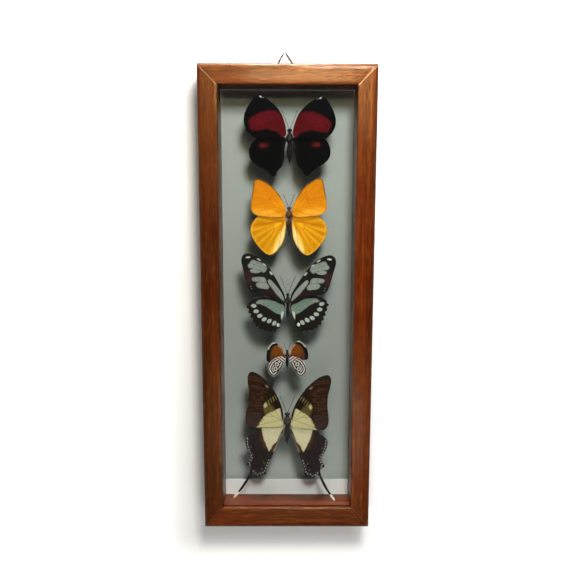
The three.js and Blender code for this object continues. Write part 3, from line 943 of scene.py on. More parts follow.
def swallowtail_fore(at, veins, edge):
    p = Paint(at, (25, 14, 5))
    p.coat(step(at[:, 0] - 23, 6.0), (36, 18, 8))
    streaks = mottle(at * (0.25, 1.6), 1.0, 16)
    p.coat(step(streaks - 0.25, 0.5) * step(at[:, 0] - 20, 6.0) * 0.5, (78, 50, 34))
    p.coat(step(-at[:, 1] - 2, 8.0) * step(at[:, 0] - 24, 5.0) * 0.7, (50, 40, 36))
    p.shimmer(3.0, 0.14, 14)
    p.patch([(12, 0.5), (19.5, -3.5), (22, 3), (19, 8), (15, 6)], (96, 84, 42), soft=3.0, strength=0.7)
    for k in range(6):
        x, z = 10.4 + 2.0 * k, 17.2 - 1.7 * k
        p.stroke([(x, z), (x - 1.6, z - 3.6)], 1.0, (142, 130, 80), soft=0.8, strength=0.75, taper=0.5)
    p.patch(
        [
            (7.7, 3.7), (4.2, -1), (3.8, -5.1), (3.8, -14.2), (10, -16.4), (20, -16.4), (27.7, -16.8),
            (26, -13.4), (24.1, -9.8), (19.6, -3.2), (12.8, 0.7),
        ],
        CREAM,
        soft=0.8,
        ragged=0.4,
    )
    for k in range(4):
        x, z = 21.5 + 1.6 * k, -8 - 2.2 * k
        p.stroke([(x + 4, z + 0.6), (x, z)], 0.8, (66, 46, 32), soft=0.6, strength=0.9, taper=0.6)
    p.coat(veins * 0.55, (52, 44, 24))
    p.spot(20.8, 5.7, 1.4, 2.3, (172, 162, 118), turn=12, soft=1.0)
    p.spot(20.0, 23.6, 1.8, 0.9, (122, 106, 84), turn=40, soft=1.0, strength=0.8)
    costa = [(3.5, -6), (5.8, 5.4), (10, 14.6), (16.3, 23.9), (23.6, 31.4), (29.8, 35.4), (37, 35)]
    p.stroke(costa, 3.2, (28, 24, 22), soft=1.6)
    return p.colours, p.colours * (1.15, 1.0, 0.85) + 0.012


def swallowtail_hind(at, veins, edge):
    p = Paint(at, (36, 30, 29))
    p.shimmer(3.0, 0.14, 15)
    p.stroke([(23, -17), (22.5, -26), (19, -34)], 4.0, (76, 46, 30), soft=3.5, strength=0.8)
    p.coat(veins * 0.35, (28, 24, 26))
    wedge = [
        (22.5, -13.5), (4.0, -13.5), (5.5, -20), (8.6, -28), (11.5, -31.2), (13.4, -34.5),
        (15.7, -38.4), (17.4, -36), (18.5, -33), (21.4, -25.8),
    ]
    p.patch(wedge, (188, 181, 148), soft=0.8, ragged=0.5)
    p.patch([(10.5, -31), (13, -33), (13.6, -38), (11.5, -40)], (76, 46, 30), soft=1.6, strength=0.8)
    p.stroke([(4.4, -19), (7.5, -27), (10.6, -35.5)], 1.6, (70, 48, 34), soft=1.2)
    p.stroke([(4.6, -21), (8.2, -31), (11.4, -38)], 0.8, (198, 188, 152), soft=0.5, strength=0.85)
    outer = [(36.2, -27.4), (36.0, -33.4), (33.2, -40.8), (31.2, -45.8), (34.0, -52.2), (31.0, -55.0)]
    inner = [(29.4, -58.8), (25.4, -62.4), (22.2, -59.8), (19.2, -59.6), (18.2, -55.6), (14.6, -44.4)]
    for margin in (outer, inner):
        for x, z in even_steps(margin, 2.6):
            p.spot(x, z, 0.8, 0.45, (160, 160, 154), turn=60, soft=0.5)
    for x, z in [(33, -35), (31, -42), (22, -56), (20, -50), (17.8, -51.8)]:
        p.spot(x, z, 1.3, 0.5, (104, 104, 102), turn=60, soft=0.6, strength=0.5)
    p.coat(step(-at[:, 1] - 63, 3.0), (30, 28, 28))
    p.coat(step(-at[:, 1] - 80.4, 1.0), (222, 214, 202))
    return p.colours, p.colours * (1.1, 1.0, 0.9) + 0.01


# %% [markdown]
# ## The five specimens
# One list holds what differs from insect to insect: its place, its size, its outlines, the ends of
# its veins and how each wing was turned when it was set. Its "lift" scales the insect's colours as
# painted light, to make up for how much lamp light reaches that insect.

# %% What differs from insect to insect
SPECIMENS = [
    {
        "name": "crimson", "lift": 0.58, "middle": 1.8, "head": 155.2, "length": 31.5,
        "thorax": 2.7, "abdomen": 2.1, "feelers": 17, "paint": (crimson_fore, crimson_hind),
        "fore": [
            (3.1, -1), (4.4, 4.6), (7.7, 12.2), (12, 17.8), (19.5, 23.7), (25.5, 27), (29.4, 26.2),
            (32.8, 22.3), (37, 15.8), (39.4, 8.3), (39, 2.1), (35.7, -3.8), (29.2, -8.7), (17, -8.8),
            (7, -8.4), (3.1, -6),
        ],
        "hind": [
            (3.1, -8.6), (8, -5.5), (17, -5), (26, -6.8), (31.2, -10.6), (34.2, -14.8), (35.2, -19.7),
            (34.1, -25.5), (29.3, -30.5), (22.8, -34), (18.2, -37.9), (14.6, -40.6), (12.2, -38.6),
            (10.4, -35.4), (7.5, -32.5), (5.4, -27), (4.5, -18),
        ],
        "veins": (
            (
                (3, -3), (16, 12), (18, 4),
                [(25, 27), (30, 26), (35, 19), (39, 11), (39, 3), (34, -5), (26, -9)],
            ),
            (
                (3, -10), (16, -11), (15, -18),
                [(28, -8), (34, -15), (35, -22), (31, -29), (24, -33), (16, -39), (8, -33)],
            ),
        ),
        "turns": (1.5, -1.5, -1.2, 1.2),
        "fur": ((26, 20, 16), (14, 12, 11)),
    },
    {
        "name": "sulphur", "lift": 1.0, "middle": 1.5, "head": 88.8, "length": 27,
        "thorax": 2.6, "abdomen": 1.9, "feelers": 12, "paint": (sulphur_fore, sulphur_hind),
        "fore": [
            (3, -3), (4.4, 2.4), (8.4, 9.8), (13.6, 16.2), (20.2, 21.2), (26.6, 23.8), (29.4, 22.4),
            (31, 16), (32.2, 9.2), (33, 1.5), (32.6, -3.6), (29.8, -6.8), (24, -8.6), (13, -9.6),
            (6, -9.6), (3, -7.5),
        ],
        "hind": [
            (3, -10.5), (8, -7.5), (17, -6.5), (25.6, -8.4), (30.9, -13), (33.4, -18.4), (33.4, -24.3),
            (30.3, -30.8), (25.3, -37.2), (20.2, -41.6), (16.5, -43), (11.9, -40.8), (6.7, -34.4),
            (3.6, -27.3), (2.9, -20.5),
        ],
        "veins": (
            (
                (3, -5), (15, 9), (16, 3),
                [(20, 21), (27, 23), (31, 15), (32, 8), (33, 1), (31, -5), (22, -9)],
            ),
            (
                (3, -12), (14, -14), (13, -21),
                [(26, -9), (32, -16), (33, -24), (29, -32), (22, -40), (16, -43), (9, -37)],
            ),
        ),
        "turns": (-1, 1, 0.5, -0.5),
        "fur": ((104, 58, 22), (44, 34, 22)),
    },
    {
        "name": "clearwing", "lift": 0.95, "middle": 0.5, "head": 12.2, "length": 25.2,
        "thorax": 1.9, "abdomen": 1.2, "feelers": 17, "paint": (clearwing_fore, clearwing_hind),
        "fore": [
            (2.3, -4.5), (3.2, -0.8), (7.7, 7.5), (13, 16.1), (18.5, 23.5), (24.6, 29.6), (30.8, 33.2),
            (36.7, 34.6), (40.4, 32.9), (41.9, 28.5), (40.2, 19.9), (37.5, 9.9), (35.2, 3), (32, 0),
            (24.3, -1.8), (15, -4.6), (7, -8.8), (2.3, -9),
        ],
        "hind": [
            (2.3, -10.2), (6, -7.8), (13, -4.5), (20, -3.4), (27, -4.2), (33, -6.6), (36, -10.8),
            (34.3, -17.5), (31.7, -24), (28.6, -29.2), (23.6, -32.6), (15.7, -34.6), (9.7, -32.8),
            (6.2, -25.2), (3.4, -17.4),
        ],
        "veins": (
            (
                (3, -6), (18, 14), (20, 7),
                [(31, 33), (37, 34), (41, 27), (39, 17), (37, 9), (34, 2), (22, -2)],
            ),
            (
                (3, -12), (18, -9), (16, -14),
                [(27, -4), (35, -9), (34, -18), (30, -27), (24, -32), (15, -34), (8, -30)],
            ),
        ),
        "turns": (1.4, -1.4, -2, 2),
        "scallops": 0.8,
        "fur": ((28, 23, 20), (20, 18, 17)),
    },
    {
        "name": "ringlet", "lift": 1.0, "middle": 0.1, "head": -39.6, "length": 18.6,
        "thorax": 1.5, "abdomen": 1.1, "feelers": 8, "paint": (ringlet_fore, ringlet_hind),
        "fore": [
            (1.9, -3.4), (3, 0.2), (5.3, 3.3), (7.6, 5.4), (10.2, 7.6), (12.6, 7.4), (15.3, 5),
            (17.8, 0.6), (19, -5.5), (18.4, -9.4), (16.4, -10.6), (9, -9.2), (3.4, -7.2), (1.9, -6),
        ],
        "hind": [
            (1.9, -7), (5, -5.9), (9.5, -7), (13.4, -9.4), (16.2, -13.4), (17.7, -18.3), (16, -22.2),
            (12.6, -24.6), (9.5, -23.4), (7, -19.6), (4.6, -15.9), (2.4, -10.6),
        ],
        "veins": (
            (
                (2, -4), (8, 1), (9, -3),
                [(10, 7), (13, 7), (16, 4), (18, 0), (19, -5), (17, -10), (12, -10)],
            ),
            (
                (2, -7.5), (8, -9), (7, -12),
                [(11, -8), (15, -12), (17, -17), (16, -22), (12, -24), (8, -21), (5, -16)],
            ),
        ),
        "turns": (-4.5, 4.5, 0, 0),
        "hind_in_front": True,
        "fur": ((22, 18, 18), (15, 13, 13)),
    },
    {
        "name": "swallowtail", "lift": 1.45, "middle": 0.3, "head": -98.6, "length": 32.3,
        "thorax": 3.1, "abdomen": 2.3, "feelers": 17, "paint": (swallowtail_fore, swallowtail_hind),
        "fore": [
            (3.5, -6), (4.2, -0.5), (5.8, 5.4), (10, 14.6), (16.3, 23.9), (23.6, 31.4), (29.8, 35.4),
            (35.4, 36.4), (38.1, 32.4), (37.6, 25), (36.2, 17), (36.2, 8), (37, 2), (38.1, -4),
            (37.9, -11), (35, -15.6), (30.2, -16.3), (18, -15.4), (8.4, -14.8), (3.5, -12.5),
        ],
        "hind": [
            (3.5, -15.5), (8, -13.6), (16, -13.4), (24, -16.2), (31.2, -21.4), (37.6, -27),
            (37.4, -33.6), (34.6, -40.6), (32.4, -45.6), (35.8, -52.6), (32.2, -55.4), (32.4, -59.5),
            (36.8, -68.9), (41.5, -77.4), (47, -86), (46.3, -86.7), (39.8, -78.3), (34.6, -69.9),
            (30.6, -61.6), (28.6, -60.4), (25.2, -64.2), (22.4, -61.4), (18.2, -61.2), (16.9, -56),
            (15.4, -50.6), (11.9, -41), (7.9, -29.5), (4.4, -20.5),
        ],
        "veins": (
            (
                (4, -9), (16, 6), (18, -1),
                [(25, 32), (33, 36), (38, 28), (36, 16), (36, 6), (38, -5), (32, -16)],
            ),
            (
                (4, -17), (15, -22), (13, -29),
                [(28, -19), (37, -29), (34, -42), (34, -53), (27, -62), (20, -61), (14, -46)],
            ),
        ),
        "turns": (3, -3, 2.7, -1.5),
        "fur": ((64, 56, 50), (50, 44, 41)),
    },
]
print([specimen["name"] for specimen in SPECIMENS])

# %% [markdown]
# ## Build and hang the wings
# The painted flat wing is mirrored for the left side, turned about its root, bent and moved to its
# specimen. Both pairs of wings follow one bend, so the front pair never cuts through the rear pair.
# The front sheet gets the pattern, and the rear sheet the colours of the other side.

# %% The bend that both pairs follow
NEAR_WING, FAR_WING = -1.1, -0.4  # middle of each pair's sheets, from the middle of the body


def bend(x, z, seed):
    """How far a wing lies back at a place, in millimetres."""
    rng = np.random.default_rng(100 + seed)
    tilt, dish = rng.uniform(-0.012, 0.012), rng.uniform(0.0004, 0.0009)
    place = np.stack([x, z], 1)
    waves = 0.35 * mottle(place, 17.0, 200 + seed) * np.clip(np.abs(x) / 15, 0, 1)
    return tilt * x + dish * x**2 + waves


# %% Colour a piece and carry it to its place
BEHIND_PANE = 1.1  # from the front pane's back to the thorax


def hang(made, specimen, colours, slot, node):
    colours = np.hstack([np.clip(colours, 0, 1), np.ones((len(colours), 1))])
    store(made, "paint", colours, "FLOAT_COLOR")
    y = FRONT_Y + PANE_Y[0] + GLASS + BEHIND_PANE + specimen["thorax"]
    place = (MIDDLE_X + specimen["middle"], y, MIDDLE_Z + specimen["head"])
    made.data.transform(Matrix.Translation(Vector(place) * MM))
    settle(made, "frame", slot, node)


# %% One wing, from outline to finished piece
def wing_piece(specimen, seed, pair, side, finish, drawn):
    points, triangles, edge, veins, paint = drawn
    turn_row = pair * 2 + (0 if side < 0 else 1)
    turn = math.radians(specimen["turns"][turn_row])
    pivot = np.array(specimen[("fore", "hind")[pair]][0], float)
    c, s = math.cos(turn), math.sin(turn)
    offset = points - pivot
    x = side * (pivot[0] + c * offset[:, 0] - s * offset[:, 1])
    z = pivot[1] + s * offset[:, 0] + c * offset[:, 1]
    in_front = pair == (1 if specimen.get("hind_in_front") else 0)
    plane = NEAR_WING if in_front else FAR_WING
    lie = bend(x, z, seed) + plane - 0.07 * veins
    thick = WING_SHEET * np.clip(0.4 + edge, 0.4, 1.0)
    front = np.stack([x, lie - thick / 2, z], 1)
    back = np.stack([x, lie + thick / 2, z], 1)
    faces = wing_solid(triangles, len(points))
    if side < 0:
        faces = [face[::-1] for face in faces]
    node = f"{specimen['name']}_{('forewing', 'hindwing')[pair]}_{'left' if side < 0 else 'right'}"
    made = mesh_object(node + "_scales", np.vstack([front, back]), faces, [finish])
    # each insect's lift scales its colours as painted light, for how much lamp light reaches it
    hang(made, specimen, np.vstack(paint) * specimen["lift"], specimen["name"] + "_wing", node)
    return len(made.data.polygons)


def drawn_wing(specimen, pair, seed):
    """The flat wing: points, triangles, distance to the edge, veins and the two sides' colours."""
    loop = loop_through(specimen[("fore", "hind")[pair]])
    loop = even_steps(np.vstack([loop, loop[:1]]), WING_GRID)
    outward = np.roll(loop, 1, 0) - np.roll(loop, -1, 0)
    outward = np.stack([-outward[:, 1], outward[:, 0]], 1)
    outward /= np.maximum(np.linalg.norm(outward, axis=1)[:, None], 1e-6)
    ragged = 0.1 * mottle(loop, 0.9, 300 + seed)
    if pair == 1 and "scallops" in specimen:
        far = step(loop[:, 0] - 8, 4.0) * step(-loop[:, 1] - 8, 4.0)
        ragged += specimen["scallops"] * far * np.cos(np.arange(len(loop)) * 2 * math.pi / 11)
    loop = loop + outward * ragged[:, None]
    points, triangles, edge = filled(loop)
    veins = vein_height(vein_plan(*specimen["veins"][pair]), points, 0.3)
    return points, triangles, edge, veins, specimen["paint"][pair](points, veins, edge)


# %% All twenty wings
faces_made = 0
for seed, specimen in enumerate(SPECIMENS):
    finish = wing_finish(specimen["name"] + " wing")
    for pair in (0, 1):
        drawn = drawn_wing(specimen, pair, seed * 2 + pair)
        for side in (-1, 1):
            faces_made += wing_piece(specimen, seed, pair, side, finish, drawn)
print("faces in twenty wings:", faces_made)

# %% [markdown]
# ## The bodies
# A butterfly's body has three parts: a small head with two large eyes and a pair of feelers, a
# strong furry thorax that carries the wings, and a slim abdomen in rings. The trunk is turned like a
# spindle. The fur is made of short tapered bristles, each a thin pyramid, because they must be
# real mesh to leave Blender with the rest.

# %% The fur and eye finishes
def fur_finish():
    f = Finish("insect fur")
    grain = f.noise(f.place(), 3500.0, 2.0)
    f.set(
        Base_Color=f.scaled(f.stored("paint", "Color"), f.between(grain, 0.35, 0.65, 0.7, 1.25)),
        Roughness=0.7,
        Normal=f.bump(grain, 0.4, 0.0001),
        Sheen_Weight=0.05,
        Specular_IOR_Level=0.15,
    )
    return f


def eye_finish():
    f = Finish("insect eye")
    facets = f.node("ShaderNodeTexVoronoi", {"Vector": f.place(), "Scale": 6000.0}).outputs["Distance"]
    f.set(Base_Color=colour(30, 20, 16), Roughness=0.25, Normal=f.bump(facets, 0.3, 0.00003))
    return f


fur, eye = fur_finish(), eye_finish()


# %% The trunk
BROADER = 1.25  # a body with its fur is this much wider than it is deep
WAIST = 0.42  # the share of the length where the abdomen starts
RING_COUNT = 13


def swell(share, middle, width, size):
    return size * np.exp(-(((share - middle) / width) ** 2))


def trunk_radius(specimen, share):
    """The body's radius at a share of its length, from the head to the tip of the abdomen."""
    head = swell(share, 0.05, 0.06, specimen["thorax"] * 0.62)
    chest = swell(share, 0.27, 0.15, specimen["thorax"] * 0.97)
    belly = swell(share, 0.6, 0.27, specimen["abdomen"])
    rings = 1 + 0.07 * np.abs(np.sin(np.clip(share - WAIST, 0, 1) * math.pi * RING_COUNT))
    taper = np.sqrt(np.clip(np.sin(math.pi * np.clip(share, 0, 1) ** 0.9), 0, 1))
    radius = np.maximum(np.maximum(head, chest), belly * np.where(share > WAIST, rings, 1) * 0.94)
    return np.minimum(radius, specimen["thorax"]) * np.minimum(1, 1.6 * taper)


def trunk(specimen, rng):
    rings, sides = 90, 28
    share = np.linspace(0.004, 0.996, rings)
    turn = np.linspace(0, 2 * math.pi, sides, endpoint=False)
    radius = trunk_radius(specimen, share)[:, None] * (1 + rng.normal(0, 0.015, (rings, sides)))
    x, y = BROADER * radius * np.cos(turn), radius * np.sin(turn)
    z = np.repeat(-specimen["length"] * share[:, None], sides, 1)
    points = np.stack([x, y, z], 2).reshape(-1, 3)
    return points, ring_faces(rings, sides, turned=True), np.repeat(share, sides)


# %% Bristles
BRISTLES = 900  # on each body


def bristles(specimen, count, rng):
    """Thin three-sided pyramids that stand on the trunk and lean towards its tail."""
    points, faces, shares = [], [], []
    pyramid = ((0, 1, 2), (0, 3, 1), (1, 3, 2), (2, 3, 0))
    for k in range(count):
        on_chest = k < 0.72 * count
        share = rng.normal(0.24, 0.1) if on_chest else rng.uniform(0.4, 0.93)
        share = float(np.clip(share, 0.02, 0.95))
        turn = rng.uniform(0, 2 * math.pi)
        radius = float(trunk_radius(specimen, np.array(share)))
        out = np.array([math.cos(turn), math.sin(turn), 0.0])
        root = out * radius * 0.97 * (BROADER, 1, 1) + (0, 0, -specimen["length"] * share)
        room = specimen["thorax"] - radius * 0.97 + 0.25
        length = rng.uniform(0.9, 1.9) if on_chest else rng.uniform(0.4, 0.8)
        lift = min(0.35 * length, room) if on_chest else 0.08
        tip = root + out * lift + (rng.normal(0, 0.25), 0, -length)
        side = np.cross(out, (0, 0, 1)) * 0.07
        start = len(points)
        points += [root + side, root - side, root + out * 0.08, tip]
        faces += [tuple(start + n for n in face) for face in pyramid]
        shares += [share] * 4
    return np.array(points), faces, np.array(shares)


# %% Eyes and feelers
def ball(centre, radius):
    rings, sides = 9, 12
    points = []
    for i in range(rings):
        tilt = math.pi * (i + 0.02) / (rings - 1 + 0.04)
        for k in range(sides):
            turn = 2 * math.pi * k / sides
            flat = radius * math.sin(tilt)
            way = (flat * math.cos(turn), flat * math.sin(turn), radius * math.cos(tilt))
            points.append([c + w for c, w in zip(centre, way)])
    return np.array(points), ring_faces(rings, sides, turned=True)


def feeler(specimen, side):
    reach = specimen["feelers"]
    share = np.linspace(0, 1, 26)
    spread = math.radians(20)
    x = side * (0.4 + reach * share * math.sin(spread) * (1 + 0.1 * share))
    z = -1 + reach * share * math.cos(spread)
    y = 0.25 * np.sin(share * 2.4)
    radii = 0.19 + 0.1 * np.clip((share - 0.84) / 0.1, 0, 1) * np.clip((1.04 - share) / 0.1, 0.2, 1)
    return tube(np.stack([x, y, z], 1), radii, 8)


# %% Put each body together
def body_piece(specimen, seed):
    rng = np.random.default_rng(400 + seed)
    chest, belly = (linear(*shade) for shade in specimen["fur"])
    points, faces, colours, marks = [], [], [], []

    def take(more_points, more_faces, more_colours, mark=0):
        start = sum(len(block) for block in points)
        points.append(more_points)
        faces.extend(tuple(start + n for n in face) for face in more_faces)
        colours.append(np.broadcast_to(more_colours, (len(more_points), 3)))
        marks.extend([mark] * len(more_faces))

    def shade(share):
        mix = step(share - 0.43, 0.08)[:, None]
        ring = 1 - 0.35 * (np.sin(np.clip(share - WAIST, 0, 1) * math.pi * RING_COUNT) ** 2 < 0.06)
        return (chest + (belly - chest) * mix) * ring[:, None]

    more_points, more_faces, share = trunk(specimen, rng)
    take(more_points, more_faces, shade(share))
    more_points, more_faces, share = bristles(specimen, BRISTLES, rng)
    lighter = np.repeat(rng.uniform(0.6, 1.9, len(share) // 4), 4)[:, None]
    tufts = shade(share) * lighter
    if specimen["name"] == "sulphur":
        pale = np.exp(-(((share - 0.46) / 0.07) ** 2))[:, None]
        tufts = tufts + (linear(222, 204, 156) - tufts) * pale
    take(more_points, more_faces, tufts)
    head_z, eye_size = -0.055 * specimen["length"], 0.36 * specimen["thorax"]
    for side in (-1, 1):
        take(*feeler(specimen, side), linear(34, 26, 22))
        take(*ball((side * 0.45 * specimen["thorax"], -0.12, head_z), eye_size), linear(30, 20, 16), 1)
    made = mesh_object(specimen["name"] + "_insect", np.vstack(points), faces, [fur, eye])
    made.data.polygons.foreach_set("material_index", marks)
    hang(made, specimen, np.vstack(colours), "insect_body", specimen["name"] + "_body")
    print(made.name, "faces:", len(made.data.polygons))


for seed, specimen in enumerate(SPECIMENS):
    body_piece(specimen, seed)

# %% [markdown]
# ## Dots of clear glue
# A dot of clear glue between the thorax and the front pane holds each insect. A drop pressed
# between two faces has a round, bulging rim. It is turned from a short curve and gets a clear,
# smooth finish.

# %% The glue
def glue_finish():
    f = Finish("clear glue")
    haze = f.noise(f.place(), 1500.0, 2.0)
    f.set(
        Base_Color=colour(246, 245, 240),
        Roughness=f.between(haze, 0.3, 0.7, 0.08, 0.16),
        IOR=1.47,
        Transmission_Weight=1.0,
    )
    return f


def glue_dot(specimen, finish):
    low, high = (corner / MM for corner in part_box(specimen["name"] + "_glue_dot"))
    middle = (low + high) / 2
    sides, rings = 20, 7
    share = np.linspace(-0.5, 0.5, rings)
    rim = 1.15 + 0.3 * np.sqrt(1 - (1.8 * share) ** 2)
    turn = np.linspace(0, 2 * math.pi, sides, endpoint=False)
    points = [
        (middle.x + r * math.cos(t), middle.y + h * (high.y - low.y), middle.z + r * math.sin(t))
        for h, r in zip(share, rim)
        for t in turn
    ]
    made = mesh_object(specimen["name"] + "_glue", points, ring_faces(rings, sides), [finish])
    made.visible_shadow = False
    settle(made, "frame", "clear_glue", specimen["name"] + "_glue_dot")


glue = glue_finish()
for specimen in SPECIMENS:
    glue_dot(specimen, glue)

# %% [markdown]
# ## The room
# The frame hangs on a white wall. Just behind the panes the wall is painted a duller grey-green,
# darkest half way down and lightest at the foot: painted shade for the shade in the deep frame and
# the insects' shadows. The wall can be seen through from behind, so the back of the frame can be
# looked at too. The wall glows a little: outside the frame, so that it stays paper white where the
# lamp's light fades, and close behind the frame's own back, because the real gap there is lit by a
# whole room. Left of and below the frame the glow is dimmer, as a painted soft shadow of the frame.
# A pale floor lies well below.

# %% The wall and the floor
PAINTED_WALL_SHADE = (  # painted shade: share of the way down the panes, and the wall's colour there
    (0.0, (176, 182, 181)),
    (0.25, (178, 184, 182)),
    (0.52, (168, 174, 172)),
    (0.76, (176, 182, 180)),
    (1.0, (206, 212, 211)),
)
PAINTED_SHADE_REACH = 180.0  # above and below the middle
GLOW_NEAR, GLOW_FAR, GLOW_REACH = 0.0, 0.95, 0.075
GAP_GLOW, GAP_REACH = 0.7, 0.006  # of the glow in the gap behind the frame
SHADE_LEFT, SHADE_DOWN = 14.0, 25.0  # where the glow's dim patch, a painted soft shadow of the frame, lies from the frame


def outside(f, split, middle_x, middle_z):
    """How far a place is outside a frame-sized patch with that middle, in metres."""
    sides = (("X", middle_x, FRAME_WIDTH / 2), ("Z", middle_z, FRAME_HEIGHT / 2))
    past = []
    for axis, middle, half in sides:
        away = f.maths("ABSOLUTE", f.maths("SUBTRACT", split[axis], middle * MM))
        beyond = f.maths("MAXIMUM", f.maths("SUBTRACT", away, half * MM), 0.0)
        past.append(f.maths("POWER", beyond, 2.0))
    return f.maths("SQRT", f.maths("ADD", *past))


def wall_finish():
    f = Finish("wall")
    split = f.node("ShaderNodeSeparateXYZ", {"Vector": f.place()}).outputs
    beyond = f.maths("GREATER_THAN", outside(f, split, MIDDLE_X, MIDDLE_Z), 0.0)
    high, low = (MIDDLE_Z + PAINTED_SHADE_REACH) * MM, (MIDDLE_Z - PAINTED_SHADE_REACH) * MM
    down = f.between(split["Z"], high, low)
    # painted shade behind the panes, for the shade in the deep frame and the insects' shadows
    behind = f.ramp(down, [(share, colour(*shade)) for share, shade in PAINTED_WALL_SHADE])
    shade = f.blend(beyond, behind, colour(240, 240, 239))
    f.set(Base_Color=shade, Roughness=0.9)
    path = f.node("ShaderNodeLightPath").outputs
    close = f.maths("LESS_THAN", path["Ray Length"], GAP_REACH)
    unseen = f.maths("SUBTRACT", 1.0, path["Is Camera Ray"])
    to_frame = f.maths("MULTIPLY", close, f.maths("MULTIPLY", unseen, GAP_GLOW))
    # the glow is dimmer in a frame-sized patch moved left and down: a painted soft shadow of the frame
    far = outside(f, split, MIDDLE_X - SHADE_LEFT, MIDDLE_Z - SHADE_DOWN)
    white = f.between(far, 0.0, GLOW_REACH, GLOW_NEAR, GLOW_FAR)
    white = f.maths("MULTIPLY", f.maths("MULTIPLY", white, path["Is Camera Ray"]), beyond)
    f.put(f.shader.inputs["Emission Strength"], f.maths("ADD", to_frame, white))
    f.shader.inputs["Emission Color"].default_value = (1, 1, 1, 1)
    clear = f.node("ShaderNodeBsdfTransparent")
    facing = f.node("ShaderNodeNewGeometry").outputs["Backfacing"]
    both = f.node("ShaderNodeMixShader", {0: facing, 1: f.shader.outputs[0], 2: clear.outputs[0]})
    f.links.new(both.outputs[0], f.nodes["Material Output"].inputs["Surface"])
    f.material.cycles.emission_sampling = "NONE"
    return f


def flat_sheet(name, corners, finish):
    made = mesh_object(name, corners, [(0, 1, 2, 3)], [finish], smooth=False)
    made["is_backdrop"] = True
    return made


WALL_Y, WALL_TOP, FLOOR_Z = 1.7, 1500, -1100
REACH = 2500  # of the wall to each side, and of the floor into the room
left_foot, right_foot = (-REACH, WALL_Y, FLOOR_Z), (REACH, WALL_Y, FLOOR_Z)
wall_corners = [left_foot, right_foot, (REACH, WALL_Y, WALL_TOP), (-REACH, WALL_Y, WALL_TOP)]
wall = flat_sheet("wall", wall_corners, wall_finish())
floor_finish = Finish("floor")
floor_finish.set(Base_Color=colour(225, 224, 220), Roughness=0.8)
floor_corners = [(-REACH, -REACH, FLOOR_Z), (REACH, -REACH, FLOOR_Z), right_foot, left_foot]
floor = flat_sheet("floor", floor_corners, floor_finish)
floor.visible_glossy = floor.visible_transmission = False

# %% [markdown]
# ## The light
# The main light is a small soft lamp, close to the frame at its upper right. It throws the
# butterflies' shadows down on the wall. A long narrow lamp hangs just where its mirror image falls
# on the top rail, and gives the varnish its hot streak. A lamp overhead lights the top edge, a low
# lamp fills the shadows near the foot, and a weak light from the left shows the other side. Mirror
# images of the lamps in the panes would hide the insects, so the lamps are told to leave the panes
# out. Their light still passes through, because the panes throw no shadow. The lamp overhead leaves
# the wall out too, as it would wash out the frame's own shadow there.

# %% Lamps
def left_out(name, pieces):
    """A collection of the pieces that a lamp leaves out."""
    kept = bpy.data.collections.new(name)
    for piece in pieces:
        kept.objects.link(piece)
    for member in kept.collection_objects:
        member.light_linking.link_state = "EXCLUDE"
    return kept


both_panes = [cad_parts[node] for node in ("front_glass", "back_glass")]
panes = left_out("panes", both_panes)
panes_and_wall = left_out("panes and wall", [*both_panes, wall])


WARM_WHITE, GOLDEN = (1.0, 0.985, 0.965), (1.0, 0.84, 0.46)


def lamp(name, place, aim, size, power, tint=WARM_WHITE, height=None, leaves=panes):
    data = bpy.data.lights.new(name, "AREA")
    data.shape = "DISK" if height is None else "RECTANGLE"
    data.size = size
    if height is not None:
        data.size_y = height
    data.energy = power
    data.color = tint
    made = bpy.data.objects.new(name, data)
    made.location = place
    made.rotation_euler = (Vector(aim) - Vector(place)).to_track_quat("-Z", "Y").to_euler()
    made.light_linking.receiver_collection = leaves
    bpy.context.scene.collection.objects.link(made)


aim = (0.0, 0.0, -0.15)
lamp("main lamp", (0.106, -0.60, 0.235), aim, 0.18, 5.0)
lamp("rail lamp", (0.0185, -0.46, 0.05), (0.0145, -0.036, -0.024), 0.153, 0.43, GOLDEN, 0.028)
lamp("top lamp", (0.0, -0.25, 1.1), (0.0, -0.02, -0.1), 0.24, 24.0, leaves=panes_and_wall)
lamp("foot lamp", (0.02, -0.35, -0.45), (0.0, 0.0, -0.4), 0.2, 0.3)
lamp("side lamp", (-0.9, -1.1, 0.3), aim, 1.2, 0.7)

# %% [markdown]
# ## The sky
# A plain sky fills what the lamps don't reach. It is dark in front of the frame, so that the panes
# don't turn milky, and brighter at the sides and behind.

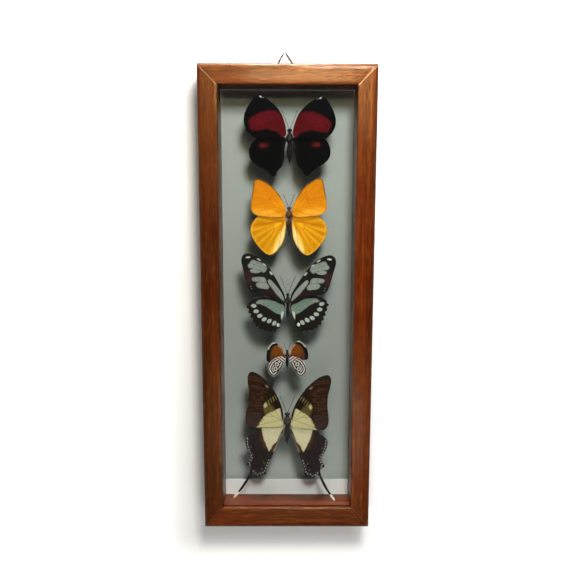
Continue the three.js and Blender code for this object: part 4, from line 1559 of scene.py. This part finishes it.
# %% The sky
SKY_FRONT, SKY_BACK = 0.03, 0.35
world = bpy.data.worlds.new("room")
world.use_nodes = True
bpy.context.scene.world = world
sky = world.node_tree
direction = sky.nodes.new("ShaderNodeTexCoord")
split = sky.nodes.new("ShaderNodeSeparateXYZ")
sky.links.new(direction.outputs["Generated"], split.inputs[0])
front_to_back = sky.nodes.new("ShaderNodeMapRange")
sky.links.new(split.outputs["Y"], front_to_back.inputs["Value"])
front_to_back.inputs["From Min"].default_value = -0.7
front_to_back.inputs["From Max"].default_value = -0.1
front_to_back.inputs["To Min"].default_value = SKY_FRONT
front_to_back.inputs["To Max"].default_value = SKY_BACK
sky.links.new(front_to_back.outputs["Result"], sky.nodes["Background"].inputs["Strength"])
sky.nodes["Background"].inputs["Color"].default_value = (0.97, 0.98, 1.0, 1.0)
bpy.context.scene.view_settings.view_transform = "Standard"

# %% [markdown]
# ## The camera
# The camera stands straight in front, a little above the middle of the frame, and looks slightly
# down, so the bottom rail's inner face shows. It is close, so the frame narrows towards its foot.

# %% The camera
eye_place = Vector((MIDDLE_X + 0.05, FRONT_Y - 556.3, MIDDLE_Z + 101.9)) * MM
down, yaw, roll = (math.radians(angle) for angle in (8.76, -0.25, 0.15))
turns = ((yaw, "Z"), (math.pi / 2 - down, "X"), (roll, "Z"))
first_turn, second_turn, third_turn = (Matrix.Rotation(angle, 4, axis) for angle, axis in turns)
lens = bpy.data.cameras.new("camera")
lens.sensor_width = 36.0
lens.lens = 39.84
camera = bpy.data.objects.new("camera", lens)
turned = first_turn @ second_turn @ third_turn
camera.matrix_world = Matrix.Translation(eye_place) @ turned
bpy.context.scene.collection.objects.link(camera)
bpy.context.scene.camera = camera
print("camera at", [round(v, 3) for v in eye_place])

# %% [markdown]
# ## Measure and finish
# Last, the dressed model is measured against the plain one. The fur and the rounded edges must not
# make it larger than its real size.

# %% Measure and finish
dressed_box = [list(corner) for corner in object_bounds()]
for low_high, plain, dressed in zip(("low", "high"), cad_box, dressed_box):
    print(low_high, [round(v / MM, 2) for v in plain], [round(v / MM, 2) for v in dressed])
